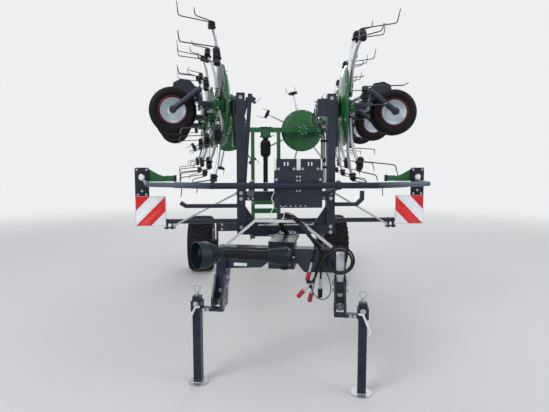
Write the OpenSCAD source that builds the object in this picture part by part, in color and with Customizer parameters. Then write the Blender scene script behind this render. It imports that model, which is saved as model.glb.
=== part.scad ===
// Trailed hay tedder with eight hook-tine rotors, folded for the road.
// Millimetres, +Z up, the drawbar towards -Y, the origin on the ground below the middle of the machine.

/* [Rotors] */
// Distance between neighbouring rotor centres
rotor_pitch = 1275; // [1230:5:1320]
// Arms on each rotor
arm_count = 7; // [5:1:9]
// Outer diameter of a rotor dish
dish_d = 714; // [600:2:760]
// Height of the dish dome over its rim
dish_crown = 52; // [30:1:80]
// Sheet thickness of the dish
dish_t = 5; // [3:0.5:8]
// Diameter of the round tine arms
arm_d = 30; // [22:1:38]
// Radius at which an arm carries its tine holder
holder_r = 665; // [600:5:690]
// Drop from the dish top to the tine holder
holder_drop = 158; // [120:2:200]
// Wire diameter of the tines
tine_d = 10; // [8:0.5:12]
// Length of the long tine below its holder
tine_long = 275; // [220:5:310]
// Length of the short tine below its holder
tine_short = 142; // [100:2:200]
// Reach of the long tine's hook
hook_long = 112; // [80:2:120]
// Reach of the short tine's hook
hook_short = 60; // [40:2:80]
// Outer diameter of a tine's spring coil
coil_d = 58; // [44:1:66]
// Diameter of a rotor's gearbox
gearbox_d = 210; // [170:5:240]

/* [Rotor wheels] */
// Diameter of a rotor wheel
wheel_d = 410; // [360:5:440]
// Width of a rotor wheel
wheel_w = 165; // [120:5:180]
// Drop from the dish top to the rotor wheel's axle
wheel_drop = 495; // [480:5:540]
// Distance of the rotor wheel's axle ahead of the rotor axis at work
wheel_lead = 60; // [30:5:90]
// Diameter of the stub axle in a rotor wheel
wheel_bore = 30; // [24:1:36]

/* [Folding frame] */
// Height of the beams
beam_h = 95; // [80:5:110]
// Width of the beams
beam_w = 80; // [60:5:90]
// Height of the beams' middle over the dish tops
beam_rise = 70; // [64:1:90]
// Distance of a wing's hinge from the middle of the machine
hinge_x = 950; // [930:5:980]
// Angle by which the folded wings run together towards the front
wing_in = 8.5; // [7:0.5:10]
// Angle between the rotor axes of the folded middle frame and straight up
fold_tilt = 91.2; // [90:0.1:93]
// Height of the middle rotors when folded
dish_z = 2250; // [2200:10:2300]
// Distance of the middle rotors behind the origin when folded
dish_y = 1980; // [1950:5:2010]
// Height of the lifting pivot
lift_z = 455; // [430:5:520]
// Distance of the lifting pivot behind the origin
lift_y = 1830; // [1810:5:1850]
// Diameter of the lifting pivot's pin
lift_pin = 50; // [40:1:60]
// Distance of each lifting upright from the middle
upright_x = 220; // [180:5:280]
// Diameter of the wing hinge pins
hinge_pin = 36; // [28:1:44]

/* [Chassis] */
// Distance of the axle behind the origin
axle_y = 1280; // [1240:5:1310]
// Diameter of a transport tyre
tyre_d = 857; // [820:1:880]
// Width of a transport tyre
tyre_w = 380; // [320:5:400]
// Distance of a transport wheel's middle from the middle of the machine
track_x = 1040; // [1020:5:1060]
// Diameter of the stub axle in a transport wheel
stub_d = 60; // [50:1:70]
// Height of the axle beam's middle
axle_beam_z = 690; // [660:5:720]
// Size of the square axle beam
axle_beam_s = 140; // [120:5:150]
// Height of the drawbar's middle at its front end
drawbar_z = 950; // [920:5:980]
// Width of the drawbar
drawbar_w = 130; // [110:5:150]
// Height of the drawbar
drawbar_h = 160; // [140:5:180]
// Size of the square mast tubes
mast_s = 75; // [60:5:80]
// Distance of each mast inside the folded wings' tips
mast_in = 31; // [20:1:45]
// Distance of the masts ahead of the folded wings' tips
mast_ahead = 167; // [140:1:240]
// Height of the mast tops
mast_top = 2250; // [2150:10:2300]
// Diameter of the guard bow
bow_d = 45; // [38:1:50]
// Diameter of the bow's ends, which slide in its middle tube
bow_end_d = 38; // [30:1:40]
// Height of the guard bow
bow_z = 1488; // [1470:2:1500]
// Distance of the guard bow's front ahead of the masts
bow_ahead = 720; // [680:5:760]
// Height of the lower crossbar
low_bar_z = 1100; // [1090:5:1140]
// Distance of the lower crossbar behind the masts
low_bar_back = 388; // [360:2:420]
// Side of a square warning board
board_s = 282; // [260:1:300]
// Distance of a warning board's outer edge from the middle
board_x = 1390; // [1370:5:1400]

/* [Hitch] */
// Distance of the steering pivot ahead of the masts
steer_ahead = 155; // [130:5:200]
// Distance between the steering pivot and the hitch pins
hitch_reach = 620; // [600:5:660]
// Angle to which the yoke is turned
yoke_turn = 12; // [0:0.5:14]
// Distance between the two lower link seats
link_gap = 890; // [860:5:960]
// Height of the lower link pins
link_z = 625; // [600:5:650]
// Diameter of the lower link pins' bores
link_bore = 29; // [28:0.5:38]
// Size of the square stand tubes
stand_s = 60; // [50:1:70]
// Distance between the two stands
stand_gap = 1210; // [1180:5:1240]
// Diameter of a stand's foot
foot_d = 150; // [130:5:170]
// Thickness of a lower link seat's ears
ear_t = 16; // [12:1:24]
// Gap between a lower link seat's ears
ear_gap = 54; // [50:1:66]
// Diameter of the splined bore at the free end of the drive shaft
spline_d = 35; // [34:0.5:45]
// Diameter of the bell guards on the drive shaft
bell_d = 190; // [160:5:200]

/* [Hidden] */
$fn = 16;

// Colours
green = [0.12, 0.42, 0.16];
slate = [0.22, 0.26, 0.32];
black = [0.07, 0.07, 0.08];
zinc = [0.72, 0.75, 0.78];
red = [0.75, 0.10, 0.10];
pale = [0.90, 0.90, 0.88];

gap = 0.5;            // clearance of a turning part on its shaft
seat = 0.3;           // gap between two parts that rest on each other
wing_fold = 90 + wing_in;
column_d = 70;        // fixed column in the middle of a rotor
holder_w = 84;        // width of a tine holder
coil_w = 36;          // length of a spring coil
column_drop = 275;    // how far the column reaches below the dish top
hub_d = 120;          // turning hub below a dish
hub_drop = 150;
hub_neck = 75;        // radius of the dish's flat middle
carrier_d = 300;      // plate that takes the arms' feet
carrier_z = -dish_crown - 32;
rim_z = -dish_crown;
run_gap = 8;          // gap between a gearbox and the dish that turns below it
fork_y = 72;          // half width of a hinge fork
fork_t = 22;          // thickness of its cheeks
fork_d = 84;
knuckle_d = 80;
leg_d = 50;           // round leg of a rotor wheel
knuckle_w = 2 * (fork_y - fork_t) - 2;
axle_z = tyre_d / 2;
bead_r = 215;         // radius of the transport tyres' beads
pivot_dy = lift_y - dish_y;
pivot_dz = lift_z - dish_z;
// The lifting pivot in the folding frame's own axes
pivot_fy = pivot_dy * cos(fold_tilt) + pivot_dz * sin(fold_tilt);
pivot_fz = -pivot_dy * sin(fold_tilt) + pivot_dz * cos(fold_tilt);
beam_end = hinge_x - 54;
// Places that follow the folded wings' tips
wing_len = rotor_pitch * 3.5 - hinge_x + 30;
tip_y = dish_y - sin(fold_tilt) * (beam_rise + wing_len * cos(wing_in));
tip_x = hinge_x - wing_len * sin(wing_in);
mast_x = round(tip_x - mast_in);
mast_y = mast_ahead - tip_y;
bow_y = mast_y + bow_ahead;
steer_y = mast_y + steer_ahead;
low_bar_y = low_bar_back - mast_y;
knee_y = 610 - mast_y; // where the drawbar starts to fall towards the axle
king_d = 60;          // steering pin
tie_z = 1330;         // lower face of the tube that ties the masts
hitch_y = -hitch_reach;

// A round bar between two points
module rod(p, q, d) {
  v = q - p;
  l = norm(v);
  translate(p) rotate([0, acos(v[2] / l), atan2(v[1], v[0])]) cylinder(d = d, h = l);
}

// A square bar between two points, h across in the upright plane and w across sideways
module bar(p, q, w, h) {
  v = q - p;
  l = norm(v);
  translate(p) rotate([0, acos(v[2] / l), atan2(v[1], v[0])])
    translate([-h / 2, -w / 2, 0]) cube([h, w, l]);
}

// A round bar through a list of points, with a ball weld a little proud at each corner
module bent_rod(pts, d) {
  for (i = [0:len(pts) - 2]) rod(pts[i], pts[i + 1], d);
  for (i = [1:len(pts) - 2]) translate(pts[i]) sphere(d = d + 1.6, $fn = 14);
}

// Outline of a bar of width w along flat points, mitred at its corners
function edge_dir(a, b) = (b - a) / norm(b - a);
function left_of(v) = [-v[1], v[0]];
function corner_off(pts, i, w) =
  let (n = len(pts) - 1,
       d0 = edge_dir(pts[max(i - 1, 0)], pts[max(i, 1)]),
       d1 = edge_dir(pts[min(i, n - 1)], pts[min(i + 1, n)]),
       m = left_of(d0) + left_of(d1))
  m / (m * m) * w;
module flat_path(pts, w) {
  n = len(pts) - 1;
  polygon(concat([for (i = [0:n]) pts[i] + corner_off(pts, i, w)],
                 [for (i = [n:-1:0]) pts[i] - corner_off(pts, i, w)]));
}

// A bent flat bar in the x-z plane, t thick across y and centred on y
module upright_path(pts, w, t, y = 0) {
  translate([0, y + t / 2, 0]) rotate([90, 0, 0]) linear_extrude(t) flat_path(pts, w);
}

// A plate with its outline in the Y-Z plane, centred on x
module side_plate(x, t, pts) {
  translate([x - t / 2, 0, 0]) rotate([90, 0, 90]) linear_extrude(t) polygon(pts);
}

// Places of the eight rotors, counted from the left wing's tip: [side, step from the middle]
ROTORS = [[-1, 3], [-1, 2], [-1, 1], [-1, 0], [1, 0], [1, 1], [1, 2], [1, 3]];
ROTOR_SIDE = 0;
ROTOR_STEP = 1;

// The folding frame: x to the right, y to the rear at work, z up at work
module folding_frame() {
  translate([0, dish_y, dish_z]) rotate([fold_tilt, 0, 0]) children();
}

// A folded wing: x from the hinge to the tip, z up at work, zero at the hinge
module wing_frame(side) {
  folding_frame() mirror([side < 0 ? 1 : 0, 0, 0])
    translate([hinge_x, 0, beam_rise]) rotate([0, -wing_fold, 0]) children();
}

// Distance of a wing rotor from the hinge
function wing_s(step) = rotor_pitch * (step + 0.5) - hinge_x;

// One rotor's frame: origin at the dish top, z up at work, x outwards
module rotor_frame(i) {
  side = ROTORS[i][ROTOR_SIDE];
  step = ROTORS[i][ROTOR_STEP];
  if (step == 0)
    folding_frame() mirror([side < 0 ? 1 : 0, 0, 0]) translate([rotor_pitch / 2, 0, 0]) children();
  else
    wing_frame(side) translate([wing_s(step), 0, -beam_rise]) children();
}

// First arm of a rotor points to the machine's right, so that neighbours' tines interleave
function rotor_phase(i) = ROTORS[i][ROTOR_SIDE] < 0 ? 180 : 0;

// Domed dish with a turned-down rim and the hub under it, bored for the fixed column
module dish_shape() {
  r = dish_d / 2;
  bore_r = column_d / 2 + gap;
  difference() {
    union() {
      rotate_extrude() polygon([
        [bore_r, 0], [hub_neck, 0], [r * 0.45, -6], [r * 0.75, -20], [r * 0.93, -36], [r, rim_z],
        [r, rim_z - 14], [r - dish_t, rim_z - 14], [r - dish_t, rim_z - 2],
        [r * 0.74, -20 - dish_t], [hub_d / 2, -14], [hub_d / 2, -hub_drop], [bore_r, -hub_drop]
      ]);
      // Carrier plate that takes the arms' feet
      translate([0, 0, carrier_z]) cylinder(d = carrier_d, h = 20);
    }
    translate([0, 0, -hub_drop - 1]) cylinder(r = bore_r, h = hub_drop + 2);
  }
}

// One arm with its tine holder and its long and short hook tine, along +x
module tine_arm() {
  foot_z = carrier_z - arm_d / 2 - seat;
  upright_path([[carrier_d / 2 - 48, foot_z], [dish_d / 2 + 30, foot_z], [holder_r - 110, foot_z - 22],
    [holder_r - 40, -holder_drop + 12], [holder_r, -holder_drop]], arm_d, arm_d);
  translate([holder_r - 30, -holder_w / 2, -holder_drop - 32]) cube([62, holder_w, 60]);
  tine(1, tine_long, hook_long);
  tine(-1, tine_short, hook_short);
}

// One hook tine beside its holder: spring coil, straight shank, hook that reaches outwards
module tine(side, l, hook) {
  coil_r = coil_d / 2 - tine_d / 2;
  y = side * (holder_w / 2 + coil_w - tine_d);
  translate([holder_r + 2, side * (holder_w / 2 - 2), -holder_drop - 2]) rotate([-side * 90, 0, 0])
    cylinder(d = coil_d, h = coil_w + 2, $fn = 8);
  upright_path([[holder_r + 2 + coil_r, -holder_drop + 4], [holder_r + 62, -holder_drop - l],
    [holder_r + 62 + hook, -holder_drop - l - hook * 0.1]], tine_d, tine_d, y);
}

module dish(i) { color(green) rotor_frame(i) dish_shape(); }

module tines(i) {
  color(zinc) rotor_frame(i)
    for (k = [0:arm_count - 1]) rotate([0, 0, rotor_phase(i) + k * 360 / arm_count]) tine_arm();
}

// Small tyre and rim on a stub axle
module rotor_wheel(i) {
  r = wheel_d / 2;
  w = wheel_w / 2;
  color(black) rotor_frame(i) translate([0, -wheel_lead, -wheel_drop]) rotate([0, 90, 0])
    difference() {
      rotate_extrude($fn = 16) polygon([
        [wheel_bore / 2, -w * 0.80], [r * 0.30, -w * 0.80], [r * 0.34, -w * 0.36], [r * 0.54, -w * 0.40],
        [r * 0.57, -w * 0.86], [r * 0.80, -w], [r * 0.95, -w * 0.80], [r, -w * 0.40],
        [r, w * 0.40], [r * 0.95, w * 0.80], [r * 0.80, w], [r * 0.57, w * 0.86],
        [r * 0.54, w * 0.40], [r * 0.34, w * 0.36], [r * 0.30, w * 0.80], [wheel_bore / 2, w * 0.80]
      ]);
      cylinder(d = wheel_bore, h = wheel_w, center = true, $fn = 16);
    }
}

// Column, leg and stub axle that carry one rotor wheel
module wheel_leg() {
  side = wheel_w / 2 + 40;
  guard_x = -wheel_w / 2 - 22;
  plate_z = -column_drop + 2;
  axle_p = [side, -wheel_lead, -wheel_drop];
  difference() {
    union() {
      translate([0, 0, -column_drop]) cylinder(d = column_d, h = column_drop + run_gap);
      translate([guard_x, -45, plate_z]) cube([side + 25 - guard_x, 190, 12]);
    }
    translate([0, 0, -column_drop - 1]) cylinder(d = 40, h = 60);
  }
  // Round leg from the plate to the axle's boss
  rod([side, 112, plate_z - 4], axle_p + [0, 14, 16], leg_d);
  translate([side, 112, plate_z + 2]) sphere(d = leg_d + 1.6, $fn = 14);
  translate(axle_p - [24, 0, 0]) rotate([0, 90, 0]) cylinder(d = leg_d + 14, h = 46);
  translate([-wheel_w / 2 - 2, -wheel_lead, -wheel_drop]) rotate([0, 90, 0])
    cylinder(d = wheel_bore - 2 * gap, h = wheel_w / 2 + side + 36);
  // Guard plate behind the wheel, with its cut corners
  side_plate(guard_x + 3, 6, [
    [30, plate_z + 6], [142, plate_z + 6], [222, plate_z - 60], [236, plate_z - 150], [205, plate_z - 212],
    [130, plate_z - 232], [62, plate_z - 176]
  ]);
}

// Beam piece with its gearboxes: x from and to, and the gearboxes' places
module gear_beam(x0, x1, places) {
  translate([x0, -beam_w / 2, -beam_h / 2]) cube([x1 - x0, beam_w, beam_h]);
  for (x = places) translate([x, 0, run_gap - beam_rise]) {
    cylinder(d = gearbox_d, h = 18);
    cylinder(d = gearbox_d - 24, h = beam_rise - run_gap);
    cylinder(d = gearbox_d - 50, h = beam_rise - run_gap + beam_h / 2 + 12);
  }
}

module centre_frame() {
  color(green) folding_frame() {
    difference() {
      union() {
        translate([0, 0, beam_rise]) gear_beam(-beam_end, beam_end, [-rotor_pitch / 2, rotor_pitch / 2]);
        for (s = [-1, 1]) {
          // Hinge forks at the beam's ends
          for (y = [-fork_y, fork_y - fork_t]) {
            translate([s * hinge_x, y, beam_rise]) rotate([-90, 0, 0]) cylinder(d = fork_d, h = fork_t);
            translate([s > 0 ? beam_end - 60 : -hinge_x, y, beam_rise - fork_d / 2 + 4])
              cube([hinge_x - beam_end + 60, fork_t, fork_d - 8]);
          }
          translate([s > 0 ? beam_end - 58 : -beam_end, 5 - fork_y, beam_rise - fork_d / 2 + 9])
            cube([58, 2 * fork_y - 10, fork_d - 18]);
          // Uprights down to the lifting pivot
          bar([s * upright_x, -30, beam_rise], [s * upright_x, pivot_fy, pivot_fz], 60, 110);
          translate([s * upright_x, pivot_fy, pivot_fz]) rotate([0, 90, 0])
            cylinder(d = 124, h = 60, center = true);
        }
        // Angle gearbox through the beam's middle, with its dome and flanges
        translate([0, 0, beam_rise]) rotate([90, 0, 0]) rotate_extrude() polygon([
          [0, -70], [40, -66], [72, -54], [92, -50], [103, -50], [103, -40], [86, -40], [80, 0], [86, 100],
          [103, 104], [103, 118], [60, 118], [60, 136], [0, 136]
        ]);
        // Cross tube that ties the uprights
        bar([-upright_x, pivot_fy + 420, pivot_fz - 28], [upright_x, pivot_fy + 420, pivot_fz - 28], 80, 80);
      }
      for (s = [-1, 1]) translate([s * hinge_x, -80, beam_rise]) rotate([-90, 0, 0])
        cylinder(d = hinge_pin, h = 160);
      translate([0, pivot_fy, pivot_fz]) rotate([0, 90, 0])
        cylinder(d = lift_pin + 2 * gap, h = 2 * upright_x + 80, center = true);
    }
  }
}

// Drive to the folding frame: angle gearbox in the beam's middle and the shaft that hangs from it
module centre_cardan() {
  top = 136.3;
  color(black) folding_frame() translate([0, 0, beam_rise]) rotate([90, 0, 0]) rotate_extrude() polygon([
    [0, top], [45, top], [45, top + 30], [65, top + 40], [87, top + 84], [87, top + 262], [72, top + 300],
    [40, top + 330], [40, top + 1080], [0, top + 1080]
  ]);
}

module centre_legs() {
  color(slate) for (i = [3, 4]) rotor_frame(i) wheel_leg();
}

module wing_beam(side) {
  color(green) wing_frame(side) difference() {
    union() {
      gear_beam(62, wing_len, [for (k = [1:3]) wing_s(k)]);
      rotate([-90, 0, 0]) cylinder(d = knuckle_d, h = knuckle_w, center = true);
      translate([0, -knuckle_w / 2, -34]) cube([64, knuckle_w, 68]);
    }
    rotate([-90, 0, 0]) cylinder(d = hinge_pin + 2 * gap, h = 120, center = true);
  }
}

module wing_legs(side) {
  color(slate) {
    for (i = [0:7])
      if (ROTORS[i][ROTOR_SIDE] == side && ROTORS[i][ROTOR_STEP] > 0) rotor_frame(i) wheel_leg();
    // Catch plate at the wing's tip, outside its mast
    wing_frame(side) translate([wing_s(3) + gearbox_d / 2 + seat, -370, -60])
      cube([mast_ahead + 18 - gearbox_d / 2 - seat, 400, 24]);
  }
}

module transport_tyre(side) {
  r = tyre_d / 2;
  w = tyre_w / 2;
  color(black) translate([side * track_x, axle_y, axle_z]) rotate([0, 90, 0])
    rotate_extrude($fn = 24) polygon([
      [bead_r, -w * 0.86], [bead_r + 24, -w * 0.86], [r * 0.80, -w], [r * 0.95, -w * 0.88], [r, -w * 0.5],
      [r, w * 0.5], [r * 0.95, w * 0.88], [r * 0.80, w], [bead_r + 24, w * 0.86], [bead_r, w * 0.86]
    ]);
}

module transport_rim(side) {
  w = tyre_w / 2;
  rr = bead_r - seat;
  color(zinc) translate([side * track_x, axle_y, axle_z]) rotate([0, side * 90, 0])
    rotate_extrude($fn = 24) polygon([
      [stub_d / 2 + gap, -60], [70, -60], [70, 40], [110, 40], [110, 60], [rr - 30, 60], [rr - 10, 20],
      [rr - 10, -w * 0.94], [rr + 18, -w * 0.94], [rr + 18, -w * 0.88], [rr, -w * 0.88], [rr, w * 0.88],
      [rr + 18, w * 0.88], [rr + 18, w * 0.94], [rr - 10, w * 0.94], [rr - 10, 60], [rr - 20, 76],
      [110, 76], [110, 90], [75, 90], [75, 130], [0, 130], [0, 110], [stub_d / 2 + gap, 110]
    ]);
}

module drawbar() {
  h = drawbar_h / 2;
  s = axle_beam_s / 2;
  color(slate) difference() {
    union() {
      side_plate(0, drawbar_w, [
        [40 - steer_y, drawbar_z - h], [knee_y, drawbar_z - h], [axle_y - s, axle_beam_z - s],
        [axle_y - s, axle_beam_z + s], [knee_y + 60, drawbar_z + h], [40 - steer_y, drawbar_z + h]
      ]);
      translate([0, -steer_y, drawbar_z - h]) cylinder(d = 150, h = drawbar_h);
    }
    translate([0, -steer_y, drawbar_z - h - 10]) cylinder(d = king_d + 2 * gap, h = drawbar_h + 20);
  }
}

module axle_beam() {
  s = axle_beam_s;
  inner = track_x - tyre_w / 2 - 40;
  color(slate) {
    translate([-inner, axle_y - s / 2, axle_beam_z - s / 2]) cube([2 * inner, s, s]);
    for (k = [-1, 1]) {
      translate([k > 0 ? inner - 30 : -inner, axle_y - 60, axle_z - 70]) cube([30, 120, axle_beam_z - axle_z + 70]);
      translate([k * (inner - 20), axle_y, axle_z]) rotate([0, k * 90, 0])
        cylinder(d = stub_d, h = track_x + 100 - inner + 20);
      translate([k * (inner - 2), axle_y, axle_z]) rotate([0, k * 90, 0]) cylinder(d = 120, h = 30);
    }
  }
}

// Brackets from the axle beam back to the lifting pivot, with the pivot's pin
module lift_brackets() {
  s = axle_beam_s;
  inner_x = upright_x + 30 + gap;
  y0 = axle_y + s / 2;
  color(slate) {
    for (k = [-1, 1]) side_plate(k * (inner_x + 10), 20, [
      [y0, axle_beam_z - s / 2], [y0, axle_beam_z + s / 2], [y0 + 140, axle_beam_z + s / 2],
      [lift_y + 70, lift_z + 50], [lift_y + 70, lift_z - 60], [lift_y - 60, lift_z - 70]
    ]);
    translate([0, lift_y, lift_z]) rotate([0, 90, 0])
      cylinder(d = lift_pin, h = 2 * inner_x + 60, center = true);
    translate([-inner_x - 10, y0, axle_beam_z - s / 2 + 10]) cube([2 * inner_x + 20, 90, s - 20]);
  }
}

module mast_frame() {
  h = mast_s / 2;
  z0 = drawbar_z + drawbar_h / 2;
  strut_y = -mast_y;
  color(slate) {
    for (k = [-1, 1]) {
      translate([k * mast_x - h, -mast_y - h, z0]) cube([mast_s, mast_s, mast_top - z0]);
      // Foot gusset beside each mast
      translate([0, -mast_y + 5, 0]) rotate([90, 0, 0]) linear_extrude(10)
        polygon([[k * (mast_x - h + 2), z0 + 60], [k * (mast_x - h + 2), z0 + 250], [k * (mast_x - h - 120), z0 + 70]]);
    }
    for (z = [z0, tie_z]) translate([-mast_x, -mast_y - h, z]) cube([2 * mast_x, mast_s, 80]);
    // Catch strut with its hook and brace, inside the left mast
    bar([-mast_x + 22, strut_y, tie_z + 40], [-mast_x + 82, strut_y, mast_top], 40, 36);
    bar([-mast_x + 80, strut_y, mast_top - 24], [-mast_x + 126, strut_y, mast_top - 54], 34, 30);
    bar([-mast_x + 8, strut_y, mast_top - 240], [-mast_x + 62, strut_y, mast_top - 30], 22, 30);
    // Valve block inside the right mast
    translate([mast_x - h - 84, -mast_y - 30, mast_top - 190]) cube([86, 60, 150]);
    // Bent tube rests beside the masts
    upright_path([[mast_x, tie_z - 40], [mast_x + 240, tie_z - 40], [mast_x + 290, tie_z + 8],
      [mast_x + 290, tie_z + 80]], 34, 34, -mast_y);
    upright_path([[-mast_x, tie_z - 48], [-mast_x - 480, tie_z - 48], [-mast_x - 528, tie_z - 18]], 34, 34, -mast_y);
  }
}

module lower_bar() {
  z0 = drawbar_z + drawbar_h / 2;
  fork_x = 1085;
  pin_z = low_bar_z - 62;
  color(slate) {
    translate([0, low_bar_y, low_bar_z]) rotate([0, 90, 0]) cylinder(d = 45, h = 2240, center = true);
    translate([-50, low_bar_y - 35, z0]) cube([100, 70, low_bar_z - z0]);
    for (k = [-1, 1]) {
      for (x = [-30, 18]) translate([k * fork_x + x, low_bar_y - 20, pin_z - 14]) cube([12, 40, 100]);
      translate([k * fork_x - 42, low_bar_y, pin_z]) rotate([0, 90, 0]) cylinder(d = 16, h = 84);
      // Stay from the mast out to the fork's pin
      rod([k * (mast_x + mast_s / 2 + 5.6), -mast_y + 12, tie_z + 60], [k * fork_x, low_bar_y, pin_z], 16);
    }
  }
}

board_y = low_bar_y - 58; // back of the warning boards
bow_arm_x = 312;      // the two arms that carry the bow
BOW_SIDE = [[600, -bow_y], [1110, board_y - 750], [1300, board_y - 5]];
module guard_bow() {
  arm_z = tie_z + 40;
  pad_y = -mast_y - mast_s / 2 - 10 - seat;
  color(slate) {
    translate([-BOW_SIDE[0][0], -bow_y, bow_z]) rotate([0, 90, 0]) cylinder(d = bow_d, h = 2 * BOW_SIDE[0][0]);
    for (k = [-1, 1]) {
      p = [for (q = BOW_SIDE) [k * q[0], q[1], bow_z]];
      knee = p[0] + (p[1] - p[0]) * 0.55;
      rod(p[0], knee, bow_d);
      translate(p[0]) sphere(d = bow_d + 1.6, $fn = 16);
      rod(knee, p[1], bow_end_d);
      rod(p[1], p[2], bow_end_d);
      translate(p[1]) sphere(d = bow_end_d + 1.6, $fn = 16);
      // Clamp collar and the arm back to the masts' tie tube
      translate([k * bow_arm_x - 18, -bow_y, bow_z]) rotate([0, 90, 0]) cylinder(d = bow_d + 18, h = 36);
      bar([k * bow_arm_x, -bow_y + 8, bow_z - 6], [k * bow_arm_x, pad_y + 6, arm_z], 44, 30);
      translate([k * bow_arm_x - 24, pad_y, arm_z - 32]) cube([48, 10, 64]);
    }
  }
}

module cover_panel() {
  y = -bow_y + bow_d / 2 + seat;
  y1 = -mast_y - mast_s / 2 - seat;
  px = 25;
  panel_w = 350;
  flap_w = panel_w / 2 - 6;
  flap_h = 84;
  top = bow_z + 112;
  color(slate) difference() {
    union() {
      translate([px - panel_w / 2, y, tie_z - 5]) cube([panel_w, 60, top - tie_z + 5]);
      for (k = [-1, 1]) {
        // Flap with a turned-in edge at each side
        translate([px + k * (flap_w / 2 + 3) - flap_w / 2, y + 20, top - 3]) cube([flap_w, 8, flap_h]);
        for (e = [-1, 1]) translate([px + k * (flap_w / 2 + 3) + e * (flap_w / 2 - 5) - 5, y, top - 3])
          cube([10, 24, flap_h]);
        translate([px + k * 95 - 15, y + 57, tie_z + 10]) cube([30, y1 - y - 57, 60]);
      }
    }
    for (k = [-1, 1]) for (e = [-12, 12])
      translate([px + k * (flap_w / 2 + 3) + e - 4, y + 10, top + flap_h * 0.38]) cube([8, 30, 26]);
  }
}

module warning_board(side) {
  y = board_y;
  in_x = board_x - board_s;
  arm_w = 130;
  top = bow_z + 50;
  color(pale) translate([side > 0 ? in_x : -board_x, y - 6, bow_z - 140 - board_s]) cube([board_s, 6, board_s]);
  color(black) translate([side > 0 ? board_x - arm_w : -board_x, y, bow_z - 200]) cube([arm_w, 8, 250]);
  color(green) translate([0, y + 12, 0]) rotate([90, 0, 0]) linear_extrude(6)
    polygon([for (p = [[board_x - arm_w + 14, top - 150], [board_x - arm_w + 14, top - 4],
      [board_x - arm_w - 52, top - 62], [board_x - arm_w - 130, top - 104], [board_x - arm_w - 130, top - 150]])
      [side * p[0], p[1]]]);
}

module yoke_frame() { translate([0, -steer_y, 0]) rotate([0, 0, -yoke_turn]) children(); }

module hitch_yoke() {
  lx = link_gap / 2;
  beam_y = hitch_y + 190;
  top = drawbar_z + 66;
  ear_x = ear_gap / 2 + ear_t / 2;
  sleeve = stand_s + 20;
  color(slate) yoke_frame() {
    difference() {
      union() {
        // Crossbeam, deep over the legs and shallower between them
        translate([0, beam_y + 60, 0]) rotate([90, 0, 0]) linear_extrude(120) polygon([
          [-lx - 42, top], [lx + 42, top], [lx + 42, top - 166], [180, top - 174], [130, top - 111],
          [-95, top - 111], [-145, top - 150], [-lx - 42, top - 166]
        ]);
        // Tongue with the two steering plates
        translate([-100, beam_y, drawbar_z + 80 + gap]) cube([200, -beam_y + 10, 24]);
        translate([-100, beam_y, drawbar_z - 80 - 24 - gap]) cube([200, -beam_y + 10, 24]);
        for (z = [80 + gap, -104 - gap]) translate([0, 0, drawbar_z + z]) cylinder(d = 200, h = 24);
        translate([-100, beam_y, drawbar_z - 104 - gap]) cube([200, 200, 208 + 2 * gap]);
        for (k = [-1, 1]) {
          // Box leg down to the lower link seat
          side_plate(k * lx, 76, [
            [hitch_y + 131, top - 4], [hitch_y + 247, top - 4], [hitch_y + 247, top - 170],
            [hitch_y + 150, link_z + 84], [hitch_y + 74, link_z + 84], [hitch_y + 84, link_z + 220]
          ]);
          // Two ears of the seat, the web between them
          for (e = [-1, 1]) side_plate(k * lx + e * ear_x, ear_t, [
            [hitch_y - 46, link_z - 42], [hitch_y - 46, link_z + 46], [hitch_y + 66, link_z + 196],
            [hitch_y + 168, link_z + 196], [hitch_y + 112, link_z - 42]
          ]);
          translate([k * lx - ear_gap / 2 - 1, hitch_y + 78, link_z - 42]) cube([ear_gap + 2, 30, 140]);
          // Stand sleeve on its bar
          translate([k * stand_gap / 2 - sleeve / 2, hitch_y - sleeve / 2, link_z - 66]) cube([sleeve, sleeve, 76]);
          translate([k > 0 ? lx - 42 : -stand_gap / 2, hitch_y - 28, link_z - 62]) cube([stand_gap / 2 - lx + 42, 56, 22]);
        }
        translate([0, 0, drawbar_z - 100]) cylinder(d = king_d, h = 200);
      }
      for (k = [-1, 1]) {
        translate([k * stand_gap / 2 - stand_s / 2 - gap, hitch_y - stand_s / 2 - gap, link_z - 80])
          cube([stand_s + 2 * gap, stand_s + 2 * gap, 140]);
        translate([k * lx, hitch_y, link_z]) rotate([0, 90, 0])
          cylinder(d = link_bore, h = ear_gap + 2 * ear_t + 2, center = true);
      }
    }
  }
}

module stand(side) {
  top = link_z + 45;
  color(slate) yoke_frame() translate([side * stand_gap / 2, hitch_y, 0]) {
    translate([-stand_s / 2, -stand_s / 2, 8]) cube([stand_s, stand_s, top - 8]);
    cylinder(d = foot_d, h = 10, $fn = 24);
    // Latch pin with its ring
    translate([0, 0, top - 2]) cylinder(d = 24, h = 34);
    translate([0, 4.5, top + 55]) rotate([90, 0, 0]) difference() {
      cylinder(d = 57, h = 9);
      translate([0, 0, -1]) cylinder(d = 40, h = 11);
    }
  }
}

// Bail over the crossbeam that keeps hoses and shaft in reach
module shaft_hoop() {
  z = drawbar_z + 66 + 8.3;
  color(zinc) yoke_frame() translate([0, hitch_y + 190, 0])
    upright_path([[-425, z], [-200, z + 190], [140, z + 190], [382, z]], 20, 20);
}

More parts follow.
